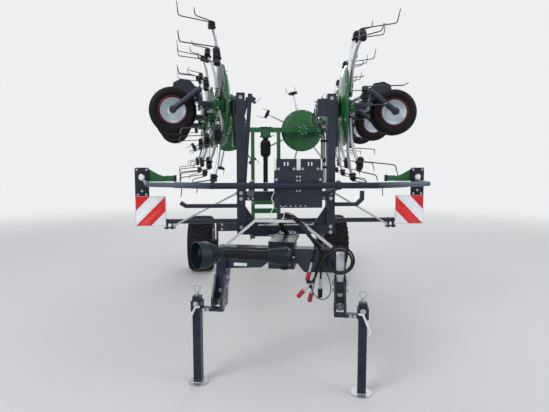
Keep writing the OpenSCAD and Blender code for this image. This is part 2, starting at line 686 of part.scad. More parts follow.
// Drive shaft laid across the yoke in its holder, with bell guards over its joints
module drive_shaft() {
  far_p = [40, hitch_y + 30, drawbar_z + 25];
  near_p = [-490, hitch_y - 206, drawbar_z + 86];
  v = near_p - far_p;
  l = norm(v);
  color(black) yoke_frame() {
    // Angle drive on the crossbeam's front, with its cap
    translate([40, hitch_y + 129.7, drawbar_z + 10]) rotate([90, 0, 0]) cylinder(d = 140, h = 50);
    translate([40, hitch_y + 82, drawbar_z + 15]) rotate([90, 0, 0]) cylinder(d = 110, h = 70);
    translate([40, hitch_y + 54, drawbar_z - 72]) cylinder(d = 66, h = 70);
    translate(far_p) rotate([0, acos(v[2] / l), atan2(v[1], v[0])]) difference() {
      union() {
        sphere(d = 124, $fn = 16);
        cylinder(d1 = 132, d2 = 96, h = 120);
        cylinder(d = 76, h = l - 30);
        translate([0, 0, l - 110]) cylinder(d1 = 100, d2 = bell_d - 8, h = 76);
        translate([0, 0, l - 34]) cylinder(d = bell_d, h = 74);
      }
      translate([0, 0, l - 20]) difference() {
        cylinder(d = bell_d - 12, h = 61);
        translate([0, 0, -1]) cylinder(d = 70, h = 56);
      }
      translate([0, 0, l - 40]) cylinder(d = spline_d, h = 90);
    }
  }
}

module hoses() {
  top = drawbar_z + 104.8;
  color(black) yoke_frame() {
    bent_rod([[0, -60, top + 14], [-40, -200, top + 130], [-20, hitch_y + 300, top + 188],
      [116, hitch_y + 164, top + 196], [230, hitch_y + 90, top + 70], [366, hitch_y + 40, top - 94]], 36);
    // Spare length, looped twice in front of the right leg
    for (k = [0, 1]) translate([440, hitch_y + 49 - 17 * k, top - 100 + 10 * k]) rotate([90, 0, 0])
      difference() {
        cylinder(r = 93, h = 18);
        translate([0, 0, -1]) cylinder(r = 75, h = 20);
      }
    // Couplings that hang from the bundle
    bent_rod([[290, hitch_y + 60, top - 20], [240, hitch_y + 62, top - 170], [236, hitch_y + 62, top - 380]], 26);
  }
}

drawbar();
axle_beam();
lift_brackets();
mast_frame();
lower_bar();
guard_bow();
cover_panel();
warning_board(-1);  // board_left
warning_board(1);  // board_right
hitch_yoke();
shaft_hoop();
drive_shaft();
hoses();
stand(-1);  // stand_left
stand(1);  // stand_right
centre_frame();
centre_cardan();
centre_legs();
wing_beam(-1);  // wing_beam_left
wing_beam(1);  // wing_beam_right
wing_legs(-1);  // wing_legs_left
wing_legs(1);  // wing_legs_right
transport_tyre(-1);  // transport_tyre_left
transport_tyre(1);  // transport_tyre_right
transport_rim(-1);  // transport_rim_left
transport_rim(1);  // transport_rim_right
dish(0);  // dish_1
dish(1);  // dish_2
dish(2);  // dish_3
dish(3);  // dish_4
dish(4);  // dish_5
dish(5);  // dish_6
dish(6);  // dish_7
dish(7);  // dish_8
tines(0);  // tines_1
tines(1);  // tines_2
tines(2);  // tines_3
tines(3);  // tines_4
tines(4);  // tines_5
tines(5);  // tines_6
tines(6);  // tines_7
tines(7);  // tines_8
rotor_wheel(0);  // rotor_wheel_1
rotor_wheel(1);  // rotor_wheel_2
rotor_wheel(2);  // rotor_wheel_3
rotor_wheel(3);  // rotor_wheel_4
rotor_wheel(4);  // rotor_wheel_5
rotor_wheel(5);  // rotor_wheel_6
rotor_wheel(6);  // rotor_wheel_7
rotor_wheel(7);  // rotor_wheel_8
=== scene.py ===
# %% [markdown]
# # A folded hay tedder, dressed for a studio picture
#
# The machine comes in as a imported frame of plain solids. This lesson gives each solid its finish and adds
# what a solid model leaves out: bolts, springs, tread, stripes, hoses and dust. The frame is in metres, with
# +Z up and the drawbar towards -Y, and every new piece is built straight in that frame.

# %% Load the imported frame
import math
import bpy
import bmesh
from mathutils import Matrix, Vector


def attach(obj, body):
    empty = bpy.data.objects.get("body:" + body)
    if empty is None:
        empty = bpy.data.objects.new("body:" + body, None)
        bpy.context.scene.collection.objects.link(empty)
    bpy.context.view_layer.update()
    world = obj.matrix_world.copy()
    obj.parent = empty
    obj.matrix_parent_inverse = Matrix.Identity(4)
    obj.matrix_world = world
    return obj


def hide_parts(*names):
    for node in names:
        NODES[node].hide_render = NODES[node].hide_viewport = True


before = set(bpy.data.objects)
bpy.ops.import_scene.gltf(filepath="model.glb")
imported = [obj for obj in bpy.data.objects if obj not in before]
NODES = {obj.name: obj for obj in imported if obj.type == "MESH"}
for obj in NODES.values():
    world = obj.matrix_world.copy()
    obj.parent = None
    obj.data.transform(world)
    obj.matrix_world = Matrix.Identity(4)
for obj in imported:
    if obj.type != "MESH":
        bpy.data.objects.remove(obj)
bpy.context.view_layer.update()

# %% [markdown]
# ## The camera
#
# A photograph fixes the camera by its height, its distance and how much it sees. The masts lean together
# and the stands keep their true spacing, so it was fitted as a plain pinhole: eye height 1.62 m, 5.6 m in
# front of the middle, turned a little to the right and a little down. No shift and no depth of field.

# %% Camera at the photograph's angle
EYE = Vector((-0.3669, -5.6, 1.6227))
TURN_RIGHT, LOOK_DOWN = 0.0691, 0.0894
SENSOR_MM, LENS_MM, FAR_END = 36.0, 28.6, 200.0

camera_data = bpy.data.cameras.new("camera")
camera_data.sensor_width = SENSOR_MM
camera_data.lens = LENS_MM
camera_data.clip_end = FAR_END
camera = bpy.data.objects.new("camera", camera_data)
camera.location = EYE
camera.rotation_euler = (math.pi / 2 - LOOK_DOWN, 0.0, -TURN_RIGHT)
bpy.context.scene.collection.objects.link(camera)
bpy.context.scene.camera = camera
bpy.context.scene.view_settings.view_transform = "Standard"
print("camera at", tuple(EYE), "lens", LENS_MM)


# %% [markdown]
# ## Small helpers
#
# Colours are easier to judge as the 0-255 values of a paint card, but Blender's sockets want linear light.
# One helper turns the one into the other. The others shorten the node work: they add a node with its values
# set, join sockets, start a material, and hang a finished mesh in the scene as an object at the origin.

# %% Helpers for colour, nodes and meshes
def paint(r, g, b):
    """A 0-255 screen colour as linear RGBA."""
    def channel(v):
        v /= 255.0
        return v / 12.92 if v <= 0.04045 else ((v + 0.055) / 1.055) ** 2.4
    return (channel(r), channel(g), channel(b), 1.0)


def fill(node, **inputs):
    """Set a node's input sockets, with _ for a space in their names."""
    for key, value in inputs.items():
        node.inputs[key.replace("_", " ")].default_value = value
    return node


def add_node(tree, kind, settings=None, **inputs):
    """A node of that kind; settings are its own fields, inputs its sockets."""
    node = tree.nodes.new(kind)
    for key, value in (settings or {}).items():
        setattr(node, key, value)
    return fill(node, **inputs)


def add_math(tree, operation):
    return add_node(tree, "ShaderNodeMath", {"operation": operation})


def wire(tree, *links):
    """Join nodes: each link is a node and its output, then a node and its input."""
    for source, output, target, entry in links:
        tree.links.new(source.outputs[output], target.inputs[entry])


def new_material(name):
    material = bpy.data.materials.new(name)
    material.use_nodes = True
    tree = material.node_tree
    return material, tree, tree.nodes["Principled BSDF"]


def new_object(name, mesh):
    obj = bpy.data.objects.new(name, mesh)
    bpy.context.scene.collection.objects.link(obj)
    return obj


print("paint card grey 128 is", round(paint(128, 128, 128)[0], 3), "in linear light")

# %% [markdown]
# ## The studio
#
# The floor is plain and pale, and far from the machine it fades into the background for the camera alone. The
# world is white where the camera, a reflection or glass looks at it, and a little weaker as a lamp, so that
# a paint renders about as its card says. Three large soft lamps give the tubes a bright and a shaded side.

# %% Floor, world and lamps
SKY_SEEN, SKY_SEEN_STRENGTH = (0.93, 0.94, 0.95, 1.0), 0.92
FLOOR_HALF, FADE_START, FADE_END = 60.0, 4.5, 15.0
floor_mesh = bpy.data.meshes.new("floor")
floor_mesh.from_pydata([(x * FLOOR_HALF, y * FLOOR_HALF, 0) for x, y in ((-1, -1), (1, -1), (1, 1), (-1, 1))], [],
                       [(0, 1, 2, 3)])
floor = new_object("floor", floor_mesh)
floor_paint, tree, shader = new_material("studio floor")
fill(shader, Base_Color=paint(214, 214, 214), Roughness=0.9)
where = add_node(tree, "ShaderNodeTexCoord")
away = add_node(tree, "ShaderNodeVectorMath", {"operation": "LENGTH"})
fade = add_node(tree, "ShaderNodeMapRange", {"interpolation_type": "SMOOTHERSTEP"}, From_Min=FADE_START,
                From_Max=FADE_END)
ray = add_node(tree, "ShaderNodeLightPath")
seen = add_math(tree, "MULTIPLY")
glow = add_node(tree, "ShaderNodeEmission", Color=SKY_SEEN, Strength=SKY_SEEN_STRENGTH)
mix = add_node(tree, "ShaderNodeMixShader")
wire(tree, (where, "Object", away, 0), (away, "Value", fade, "Value"), (fade, 0, seen, 0),
     (ray, "Is Camera Ray", seen, 1), (seen, 0, mix, 0), (shader, 0, mix, 1), (glow, 0, mix, 2),
     (mix, 0, tree.nodes["Material Output"], "Surface"))
floor_mesh.materials.append(floor_paint)

world = bpy.data.worlds.new("studio")
bpy.context.scene.world = world
world.use_nodes = True
sky = world.node_tree
sky.nodes.clear()
ray = add_node(sky, "ShaderNodeLightPath")
seen, seen_or_glass = add_math(sky, "MAXIMUM"), add_math(sky, "MAXIMUM")
lamp_sky = add_node(sky, "ShaderNodeBackground", Color=(0.92, 0.95, 1.0, 1.0), Strength=0.62)
plain_sky = add_node(sky, "ShaderNodeBackground", Color=SKY_SEEN, Strength=SKY_SEEN_STRENGTH)
choose = add_node(sky, "ShaderNodeMixShader")
out = add_node(sky, "ShaderNodeOutputWorld")
wire(sky, (ray, "Is Camera Ray", seen, 0), (ray, "Is Glossy Ray", seen, 1), (seen, 0, seen_or_glass, 0),
     (ray, "Is Transmission Ray", seen_or_glass, 1), (seen_or_glass, 0, choose, 0), (lamp_sky, 0, choose, 1),
     (plain_sky, 0, choose, 2), (choose, 0, out, 0))

LAMPS = [("key", (-6.0, -7.5, 7.5), 5.0, 420.0), ("fill", (7.0, -5.0, 5.0), 6.0, 170.0),
         ("back", (1.5, 8.5, 7.0), 5.0, 260.0)]
LAMP_AIM = Vector((0.0, 0.0, 1.2))
for lamp_name, place, size, watts in LAMPS:
    lamp = bpy.data.lights.new(lamp_name, "AREA")
    lamp.shape = "DISK"
    lamp.size = size
    lamp.energy = watts
    lamp_object = new_object(lamp_name, lamp)
    lamp_object.location = place
    lamp_object.rotation_euler = (LAMP_AIM - Vector(place)).to_track_quat("-Z", "Y").to_euler()
print("studio ready with", len(LAMPS), "lamps")


# %% [markdown]
# ## One group for weather
#
# A farm machine is never one clean colour. Road dust settles in soft clouds, and fine scratches break up the
# shine. Both are effects that nearly every finish here needs, so they are one node group with named inputs,
# built once and placed in each material with its own values. It only gives out a colour, a roughness and a
# height; the shader stays in the material, where the export can read it.

# %% The weather group
def add_sockets(tree, way, **kinds):
    """Sockets of a node group, each with its kind, and the node inside that holds them."""
    for name, kind in kinds.items():
        tree.interface.new_socket(name.replace("_", " "), in_out=way, socket_type="NodeSocket" + kind)
    return add_node(tree, "NodeGroupInput" if way == "INPUT" else "NodeGroupOutput")


def make_weather_group():
    tree = bpy.data.node_groups.new("weather", "ShaderNodeTree")
    given = add_sockets(tree, "INPUT", Clean_Color="Color", Dust_Color="Color", Dust="Float", Cloud_Scale="Float",
                        Grain_Scale="Float", Grain="Float", Clean_Roughness="Float", Dust_Roughness="Float")
    result = add_sockets(tree, "OUTPUT", Color="Color", Roughness="Float", Height="Float")
    where = add_node(tree, "ShaderNodeTexCoord")
    clouds = add_node(tree, "ShaderNodeTexNoise", Detail=5.0, Roughness=0.62)
    grain = add_node(tree, "ShaderNodeTexNoise", Detail=3.0, Roughness=0.7)
    patch = add_node(tree, "ShaderNodeMapRange", From_Min=0.38, From_Max=0.72)
    amount, height = add_math(tree, "MULTIPLY"), add_math(tree, "MULTIPLY")
    colour = add_node(tree, "ShaderNodeMix", {"data_type": "RGBA"})
    rough = add_node(tree, "ShaderNodeMix", {"data_type": "FLOAT"})
    wire(tree, (where, "Object", clouds, "Vector"), (where, "Object", grain, "Vector"),
         (given, "Cloud Scale", clouds, "Scale"), (given, "Grain Scale", grain, "Scale"), (clouds, 0, patch, "Value"),
         (patch, 0, amount, 0), (given, "Dust", amount, 1), (amount, 0, colour, 0), (given, "Clean Color", colour, 6),
         (given, "Dust Color", colour, 7), (amount, 0, rough, 0), (given, "Clean Roughness", rough, 2),
         (given, "Dust Roughness", rough, 3), (grain, 0, height, 0), (given, "Grain", height, 1),
         (colour, 2, result, "Color"), (rough, 0, result, "Roughness"), (height, 0, result, "Height"))
    return tree


WEATHER = make_weather_group()
print("weather group has", len(WEATHER.nodes), "nodes")


# %% [markdown]
# ## Finishes
#
# Each finish is a Principled shader with the weather group in front. The numbers that are the same all over,
# such as metal or the thin coat of a lacquer, sit on the shader's own sockets.

# %% A helper that builds a finish
DUST, GRAIN_SCALE, GRAIN = (128, 130, 132), 90.0, 0.3


def add_weather(tree, clean, smooth, dust, clouds, grain_scale=GRAIN_SCALE, dull=0.8, dust_color=DUST):
    return add_node(tree, "ShaderNodeGroup", {"node_tree": WEATHER}, Clean_Color=paint(*clean),
                    Dust_Color=paint(*dust_color), Dust=dust, Cloud_Scale=clouds, Grain_Scale=grain_scale,
                    Grain=GRAIN, Clean_Roughness=smooth, Dust_Roughness=dull)


def make_finish(name, clean, smooth, dust, clouds=4.0, grain_scale=GRAIN_SCALE, dull=0.8, dust_color=DUST, metal=0.0,
                coat=0.0, relief=0.2, shine=0.5):
    material, tree, shader = new_material(name)
    fill(shader, Metallic=metal, Coat_Weight=coat, Specular_IOR_Level=shine)
    weather = add_weather(tree, clean, smooth, dust, clouds, grain_scale, dull, dust_color)
    bumps = add_node(tree, "ShaderNodeBump", Distance=0.001, Strength=relief)
    wire(tree, (weather, "Height", bumps, "Height"), (bumps, 0, shader, "Normal"),
         (weather, "Color", shader, "Base Color"), (weather, "Roughness", shader, "Roughness"))
    return material


# %% The finishes of this machine
SLATE, ZINC, COOL_DUST = (26, 34, 52), (188, 192, 197), (84, 90, 102)
green_paint = make_finish("green paint", (22, 92, 46), 0.26, 0.07, coat=0.3, shine=0.35)
slate_paint = make_finish("slate paint", SLATE, 0.3, 0.06, coat=0.25, shine=0.3)
dark_paint = make_finish("dark paint", (18, 22, 34), 0.38, 0.05, shine=0.3)
zinc_coat = make_finish("zinc coat", ZINC, 0.34, 0.12, clouds=9.0, grain_scale=60.0, metal=0.8, relief=0.3)
bright_zinc = make_finish("bright zinc", (222, 226, 230), 0.3, 0.04, metal=0.35)
tine_steel = make_finish("tine steel", (62, 64, 68), 0.34, 0.1, metal=0.6)
black_plastic = make_finish("black plastic", (10, 12, 18), 0.42, 0.03, grain_scale=240.0, dust_color=COOL_DUST,
                            shine=0.25)
guard_plastic = make_finish("guard plastic", (8, 32, 40), 0.4, 0.03, grain_scale=240.0, dust_color=(84, 96, 102),
                            shine=0.3)
rubber = make_finish("tyre rubber", (12, 12, 17), 0.62, 0.07, clouds=7.0, grain_scale=160.0, dull=0.88,
                     dust_color=(58, 60, 66), relief=0.4, shine=0.2)
rim_paint = make_finish("rim paint", (232, 240, 246), 0.4, 0.05)
red_plastic = make_finish("red plastic", (168, 22, 30), 0.35, 0.05)
red_rim = make_finish("red rim paint", (78, 3, 22), 0.4, 0.04, shine=0.3)
hose_rubber = make_finish("hose rubber", (11, 12, 17), 0.45, 0.03, grain_scale=300.0, dust_color=COOL_DUST, shine=0.3)
edge_white = make_finish("white edging", (226, 230, 234), 0.3, 0.08)
# Black for the dark inside of a hole: painted shade
hole_shade_paint = make_finish("painted hole shade", (8, 8, 9), 0.9, 0.0)


# %% Two finishes on one solid
def make_zoned(name, first, second, axis, ramps, absolute=False):
    """Finish first, turning to second along an axis: a ramp goes from where the turn starts to where it ends.

    A finish here is a colour, a roughness and how metallic it is.
    """
    material, tree, shader = new_material(name)
    fill(shader, Specular_IOR_Level=0.3)
    where = add_node(tree, "ShaderNodeTexCoord")
    split = add_node(tree, "ShaderNodeSeparateXYZ")
    wire(tree, (where, "Object", split, 0))
    place = (split, axis)
    if absolute:
        size = add_math(tree, "ABSOLUTE")
        wire(tree, (*place, size, 0))
        place = (size, 0)
    mask = None
    for start, end in ramps:
        rise = add_node(tree, "ShaderNodeMapRange", From_Min=start, From_Max=end)
        wire(tree, (*place, rise, "Value"))
        if mask is None:
            mask = rise
        else:
            more = add_math(tree, "MAXIMUM")
            wire(tree, (mask, 0, more, 0), (rise, 0, more, 1))
            mask = more
    weathers = [add_weather(tree, clean, smooth, 0.06, 6.0) for clean, smooth, metal in (first, second)]
    colour = add_node(tree, "ShaderNodeMix", {"data_type": "RGBA"})
    rough, metal = [add_node(tree, "ShaderNodeMix", {"data_type": "FLOAT"}) for k in range(2)]
    for k, (weather, finish) in enumerate(zip(weathers, (first, second))):
        wire(tree, (weather, "Color", colour, 6 + k), (weather, "Roughness", rough, 2 + k))
        metal.inputs[2 + k].default_value = finish[2]
    bumps = add_node(tree, "ShaderNodeBump", Distance=0.001, Strength=0.2)
    wire(tree, (mask, 0, colour, 0), (mask, 0, rough, 0), (mask, 0, metal, 0),
         (weathers[0], "Height", bumps, "Height"), (colour, 2, shader, "Base Color"), (rough, 0, shader, "Roughness"),
         (metal, 0, shader, "Metallic"), (bumps, 0, shader, "Normal"))
    return material


SLATE_COAT, ZINC_COAT, SKY_SHEEN_COAT = (SLATE, 0.3, 0.0), (ZINC, 0.34, 0.8), ((84, 92, 110), 0.24, 0.1)
stand_paint = make_zoned("stand paint", SLATE_COAT, ZINC_COAT, "Z", [(0.6702, 0.6712), (0.0106, 0.01)])
# The bow's outer ends turn a paler blue-grey with less roughness: a painted reflection of the sky on its slate paint
bow_paint = make_zoned("bow paint", SLATE_COAT, SKY_SHEEN_COAT, "X", [(0.6, 0.86)], absolute=True)
print("made", len(bpy.data.materials), "materials")

# %% [markdown]
# ## Give every solid its finish
#
# A solid's mesh is never changed, only the material in its slots. The names of the nodes say what they are,
# so a short table from the start of a name to a finish covers them all.

# %% Finish of each node
FINISH = {"board": rim_paint, "guard_bow": bow_paint, "shaft_hoop": bright_zinc, "hoses": hose_rubber,
          "stand": stand_paint}
SLATE_NODES = "drawbar axle_beam lift_brackets mast_frame lower_bar cover_panel hitch_yoke centre_legs wing_legs"
for finish, starts in ((slate_paint, SLATE_NODES), (green_paint, "centre_frame wing_beam dish"),
                       (black_plastic, "drive_shaft centre_cardan"), (rubber, "transport_tyre rotor_wheel"),
                       (zinc_coat, "transport_rim tines")):
    FINISH.update(dict.fromkeys(starts.split(), finish))
for node_name, node in NODES.items():
    start = max((start for start in FINISH if node_name.startswith(start)), key=len)
    for material_slot in node.material_slots:
        material_slot.material = FINISH[start]
print("finished", len(NODES), "nodes")

# %% [markdown]
# ## The frames that the parts lie in
#
# The machine is folded: each wing lies back along the machine and leans in towards its front, and every rotor
# leans with it. A tine is easy to shape when its rotor lies flat at the origin, so each piece is made in its
# part's own frame and moved there at the end. A mirrored frame turns faces inside out; the dressing helper
# below turns them back.

# %% Frames of the folding parts and the yoke
PITCH, HINGE_X, BEAM_RISE = 1.275, 0.95, 0.07
STEER_Y, MAST_Y, BOW_Y, BOARD_Y = 1.9148, 1.7598, 2.4798, -1.4298
HITCH_Y, LINK_X, LINK_Z, STAND_X = -0.62, 0.445, 0.625, 0.605
ROTORS = [(-1, 3), (-1, 2), (-1, 1), (-1, 0), (1, 0), (1, 1), (1, 2), (1, 3)]
CARRIERS = {"folding_frame": [3, 4], "wing_left": [0, 1, 2], "wing_right": [5, 6, 7]}
HERE = Matrix.Identity(4)


def mm(points):
    """Points written in millimetres, in metres."""
    return [tuple(v / 1000 for v in point) for point in points]


def move(x, y, z):
    return Matrix.Translation((x, y, z))


def turn(degrees, axis):
    return Matrix.Rotation(math.radians(degrees), 4, axis)


def along(point, way):
    """The place at a point with Z along that way."""
    return Matrix.Translation(point) @ way.to_track_quat("Z", "Y").to_matrix().to_4x4()


FOLDED = move(0.0, 1.98, 2.25) @ turn(91.2, "X")
YOKE = move(0.0, -STEER_Y, 0.0) @ turn(-12.0, "Z")


def flip(side):
    return Matrix.Diagonal((side, 1.0, 1.0, 1.0))


def wing_place(side):
    return FOLDED @ flip(side) @ move(HINGE_X, 0.0, BEAM_RISE) @ turn(-98.5, "Y")


def rotor_place(index):
    side, step = ROTORS[index]
    if step == 0:
        return FOLDED @ flip(side) @ move(PITCH / 2, 0.0, 0.0)
    return wing_place(side) @ move(PITCH * (step + 0.5) - HINGE_X, 0.0, -BEAM_RISE)


for index in (0, 7):
    print("rotor", index + 1, "stands at", [round(v, 3) for v in rotor_place(index).translation])

# %% [markdown]
# ## Shapes from three moves
#
# Nearly everything on a farm machine is a bar bent along a line, a turned part or a cut plate. So three
# helpers do most of the work: sweep takes a bar along points, lathe turns a closed outline round Z, and slab
# gives a plate's outline a thickness. Each adds closed solids to a bmesh, so faces never lack a back.

# %% Lines: rounded corners and curves
def rounded(points, radius, steps=5):
    """The same line with each corner swapped for a short curve."""
    points = [Vector(p) for p in points]
    line = [points[0]]
    for before, corner, after in zip(points, points[1:], points[2:]):
        back = min(radius, (before - corner).length * 0.48)
        on = min(radius, (after - corner).length * 0.48)
        start = corner + (before - corner).normalized() * back
        end = corner + (after - corner).normalized() * on
        for step in range(steps + 1):
            t = step / steps
            line.append(start * (1 - t) ** 2 + corner * 2 * t * (1 - t) + end * t ** 2)
    line.append(points[-1])
    return line


def frames_along(points):
    """A side and an upper direction at each point, carried along without twist."""
    side = None
    found = []
    for i, point in enumerate(points):
        ahead = (points[min(i + 1, len(points) - 1)] - points[max(i - 1, 0)]).normalized()
        if side is None:
            side = ahead.cross(Vector((0.0, 0.0, 1.0)))
            side = ahead.orthogonal() if side.length < 0.1 else side
        side = (side - ahead * side.dot(ahead)).normalized()
        found.append((side, ahead.cross(side)))
    return found


# %% Shapes: a bar along a line, a turned part, a cut plate
def sweep(bm, points, radius, sides=10, flat=1.0, slot=0):
    """A closed bar along the points; radius is a number or one per point, flat squeezes it upright."""
    points = [Vector(p) for p in points]
    radii = radius if isinstance(radius, list) else [radius] * len(points)
    rings = []
    for point, r, (side, up) in zip(points, radii, frames_along(points)):
        turns = [2 * math.pi * k / sides for k in range(sides)]
        rings.append([bm.verts.new(point + side * math.cos(a) * r + up * math.sin(a) * r * flat) for a in turns])
    faces = [bm.faces.new(rings[0][::-1]), bm.faces.new(rings[-1])]
    for ring, following in zip(rings, rings[1:]):
        for k in range(sides):
            j = (k + 1) % sides
            faces.append(bm.faces.new((ring[k], ring[j], following[j], following[k])))
    for face in faces:
        face.material_index = slot


def lathe(bm, outline, segments=32, slot=0, place=HERE):
    """Turn a closed outline of (radius, height) pairs round Z; slot is a number or one per edge."""
    rings = []
    for r, z in outline:
        if r < 1e-6:
            rings.append([bm.verts.new(place @ Vector((0.0, 0.0, z)))] * segments)
        else:
            turns = [2 * math.pi * k / segments for k in range(segments)]
            rings.append([bm.verts.new(place @ Vector((r * math.cos(a), r * math.sin(a), z))) for a in turns])
    for i, ring in enumerate(rings):
        following = rings[(i + 1) % len(rings)]
        for k in range(segments):
            j = (k + 1) % segments
            corners = list(dict.fromkeys((ring[k], ring[j], following[j], following[k])))
            if len(corners) > 2:
                bm.faces.new(corners).material_index = slot[i] if isinstance(slot, list) else slot


def slab(bm, outline, low, high, slot=0, place=HERE, edge=0.0):
    """A plate with its outline in X-Y from low to high along Z, its edges broken by edge."""
    bottom = [bm.verts.new(place @ Vector((x, y, low))) for x, y in outline]
    top = [bm.verts.new(place @ Vector((x, y, high))) for x, y in outline]
    faces = [bm.faces.new(bottom[::-1]), bm.faces.new(top)]
    for k in range(len(outline)):
        j = (k + 1) % len(outline)
        faces.append(bm.faces.new((bottom[k], bottom[j], top[j], top[k])))
    for face in faces:
        face.material_index = slot
    if edge > 0.0:
        edges = list(dict.fromkeys(e for face in faces for e in face.edges))
        bmesh.ops.bevel(bm, geom=edges, offset=edge, segments=2, profile=0.6, affect="EDGES")


def block(bm, low, high, slot=0, place=HERE, edge=0.0015):
    """A box between two corners, with broken edges."""
    outline = [(low[0], low[1]), (high[0], low[1]), (high[0], high[1]), (low[0], high[1])]
    slab(bm, outline, low[2], high[2], slot, place, edge)


def shape(bm, *finishes, crease=32.0):
    """A plain mesh from a bmesh: faces outwards, smooth but for its creases, with its finishes."""
    bmesh.ops.recalc_face_normals(bm, faces=bm.faces)
    mesh = bpy.data.meshes.new("shape")
    bm.to_mesh(mesh)
    bm.free()
    mesh.polygons.foreach_set("use_smooth", [True] * len(mesh.polygons))
    mesh.set_sharp_from_angle(angle=math.radians(crease))
    for finish in finishes:
        mesh.materials.append(finish)
    return mesh


def made(finish, build, *values, **more):
    """A plain mesh in one finish from a single sweep, lathe, slab or block."""
    bm = bmesh.new()
    build(bm, *values, **more)
    return shape(bm, finish)


print("a plain rod has", len(made(zinc_coat, sweep, mm([(0, 0, 0), (0, 0, 1000)]), 0.01).polygons), "faces")

# %% [markdown]
# ## Dressing a body
#
# A finished piece has to sit at the origin with its place in its mesh, and to ride on one body. The dressing
# helper takes a list of plain meshes, each with the place where it goes, joins them to one object, keeps each
# mesh's finishes, and turns the faces of mirrored copies the right way round.

# %% The dressing helper
def dress(name, parts, body, stands_for=()):
    joined = bmesh.new()
    finishes = []
    for mesh, place in parts:
        copy = mesh.copy()
        copy.transform(place)
        if place.determinant() < 0:
            copy.flip_normals()
        first = len(joined.faces)
        joined.from_mesh(copy)
        joined.faces.ensure_lookup_table()
        slots = []
        for finish in mesh.materials:
            if finish not in finishes:
                finishes.append(finish)
            slots.append(finishes.index(finish))
        for face in joined.faces[first:]:
            face.material_index = slots[min(face.material_index, len(slots) - 1)]
        bpy.data.meshes.remove(copy)
    mesh = bpy.data.meshes.new(name)
    joined.to_mesh(mesh)
    joined.free()
    for finish in finishes:
        mesh.materials.append(finish)
    piece = new_object(name, mesh)
    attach(piece, body)
    if stands_for:
        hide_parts(*stands_for)
    print(name, "has", sum(len(face.vertices) - 2 for face in mesh.polygons), "triangles")
    return piece


# %% [markdown]
# ## Copies in a ring and in a row
#
# Seven arms round a rotor, eight nuts round a hub, a row of rivets: what repeats is made once and copied by
# Geometry Nodes. One tree copies a shape round Z, the other along a line. Both end in Realize Instances and
# Set Material, and the result is read back as a plain mesh, so nothing depends on a live modifier.

# %% The two copying trees
def make_copy_tree(name, in_ring):
    tree = bpy.data.node_groups.new(name, "GeometryNodeTree")
    given = add_sockets(tree, "INPUT", Geometry="Geometry", Count="Int", First_Turn="Float", Step="Vector",
                        Material="Material")
    result = add_sockets(tree, "OUTPUT", Geometry="Geometry")
    index = add_node(tree, "GeometryNodeInputIndex")
    points = add_node(tree, "GeometryNodePoints")
    instances = add_node(tree, "GeometryNodeInstanceOnPoints")
    real = add_node(tree, "GeometryNodeRealizeInstances")
    coat = add_node(tree, "GeometryNodeSetMaterial")
    wire(tree, (given, "Count", points, "Count"), (points, 0, instances, "Points"),
         (given, "Geometry", instances, "Instance"), (instances, 0, real, 0), (real, 0, coat, "Geometry"),
         (given, "Material", coat, "Material"), (coat, 0, result, 0))
    if in_ring:
        share, angle = add_math(tree, "DIVIDE"), add_math(tree, "MULTIPLY_ADD")
        angle.inputs[1].default_value = 2 * math.pi
        spin = add_node(tree, "ShaderNodeCombineXYZ")
        rotation = add_node(tree, "FunctionNodeEulerToRotation")
        wire(tree, (index, 0, share, 0), (given, "Count", share, 1), (share, 0, angle, 0),
             (given, "First Turn", angle, 2), (angle, 0, spin, "Z"), (spin, 0, rotation, 0),
             (rotation, 0, instances, "Rotation"))
    else:
        place = add_node(tree, "ShaderNodeVectorMath", {"operation": "SCALE"})
        wire(tree, (given, "Step", place, 0), (index, 0, place, "Scale"), (place, 0, points, "Position"))
    return tree


RING_TREE = make_copy_tree("copies in a ring", True)
ROW_TREE = make_copy_tree("copies in a row", False)


def copies(tree, mesh, **values):
    """Run a copying tree on a shape and read the result back as a plain mesh."""
    holder = new_object("copying", mesh)
    modifier = holder.modifiers.new("copies", "NODES")
    modifier.node_group = tree
    values["Material"] = mesh.materials[0]
    for socket in tree.interface.items_tree:
        if socket.in_out == "INPUT" and socket.name.replace(" ", "_") in values:
            modifier[socket.identifier] = values[socket.name.replace(" ", "_")]
    graph = bpy.context.evaluated_depsgraph_get()
    copied = bpy.data.meshes.new_from_object(holder.evaluated_get(graph))
    bpy.data.objects.remove(holder)
    return copied


def ring(mesh, count, first_turn=0.0):
    return copies(RING_TREE, mesh, Count=count, First_Turn=first_turn)


def row(mesh, count, step):
    return copies(ROW_TREE, mesh, Count=count, Step=step)


print("two copying trees ready")

# %% [markdown]
# ## Bolts
#
# One hexagon head with a washer serves the whole machine at different sizes. Its corners are turned off the way
# a real head's are, because that small round is what catches the light.

# %% A bolt head
def bolt(size, finish=zinc_coat, height=0.6):
    """A hexagon head on a washer, standing on Z = 0; size is the width across its flats."""
    bm = bmesh.new()
    lathe(bm, [(0.0, 0.0), (size * 0.86, 0.0), (size * 0.86, size * 0.12), (0.0, size * 0.12)], 16)
    r = size / math.sqrt(3)
    top = size * (0.12 + height)
    lathe(bm, [(0.0, size * 0.1), (r, size * 0.1), (r, top - size * 0.08), (r * 0.88, top), (0.0, top)], 6)
    return shape(bm, finish)


def bolts_at(places, size, axis="Z", sign=1, finish=zinc_coat):
    """Bolt heads at several points, pointing along an axis."""
    lean = {"Z": HERE, "Y": turn(-90 * sign, "X"), "X": turn(90 * sign, "Y")}[axis]
    head = bolt(size, finish)
    return [(head, move(*point) @ lean) for point in places]


def bolt_ring(size, count, r, z, first_turn=0.0, height=0.6):
    """Bolt heads on a circle round Z, standing at height z."""
    head = bolt(size, height=height)
    head.transform(move(r, 0, z))
    return ring(head, count, first_turn)


print("a bolt has", len(bolt(0.02).polygons), "faces")

# %% [markdown]
# ## The rotors: arms, holders and hook tines
#
# This is the heart of a tedder. Seven galvanised arms run out under each dish. At the end of each a black drum
# holds two spring tines, one long and one short: a wire wound to a coil, a straight shank and a hook that
# reaches outwards. The wire is one sweep along a helix that leaves its coil where it points straight down,
# which is how the real spring is wound. One arm is shaped, and the ring tree makes seven.

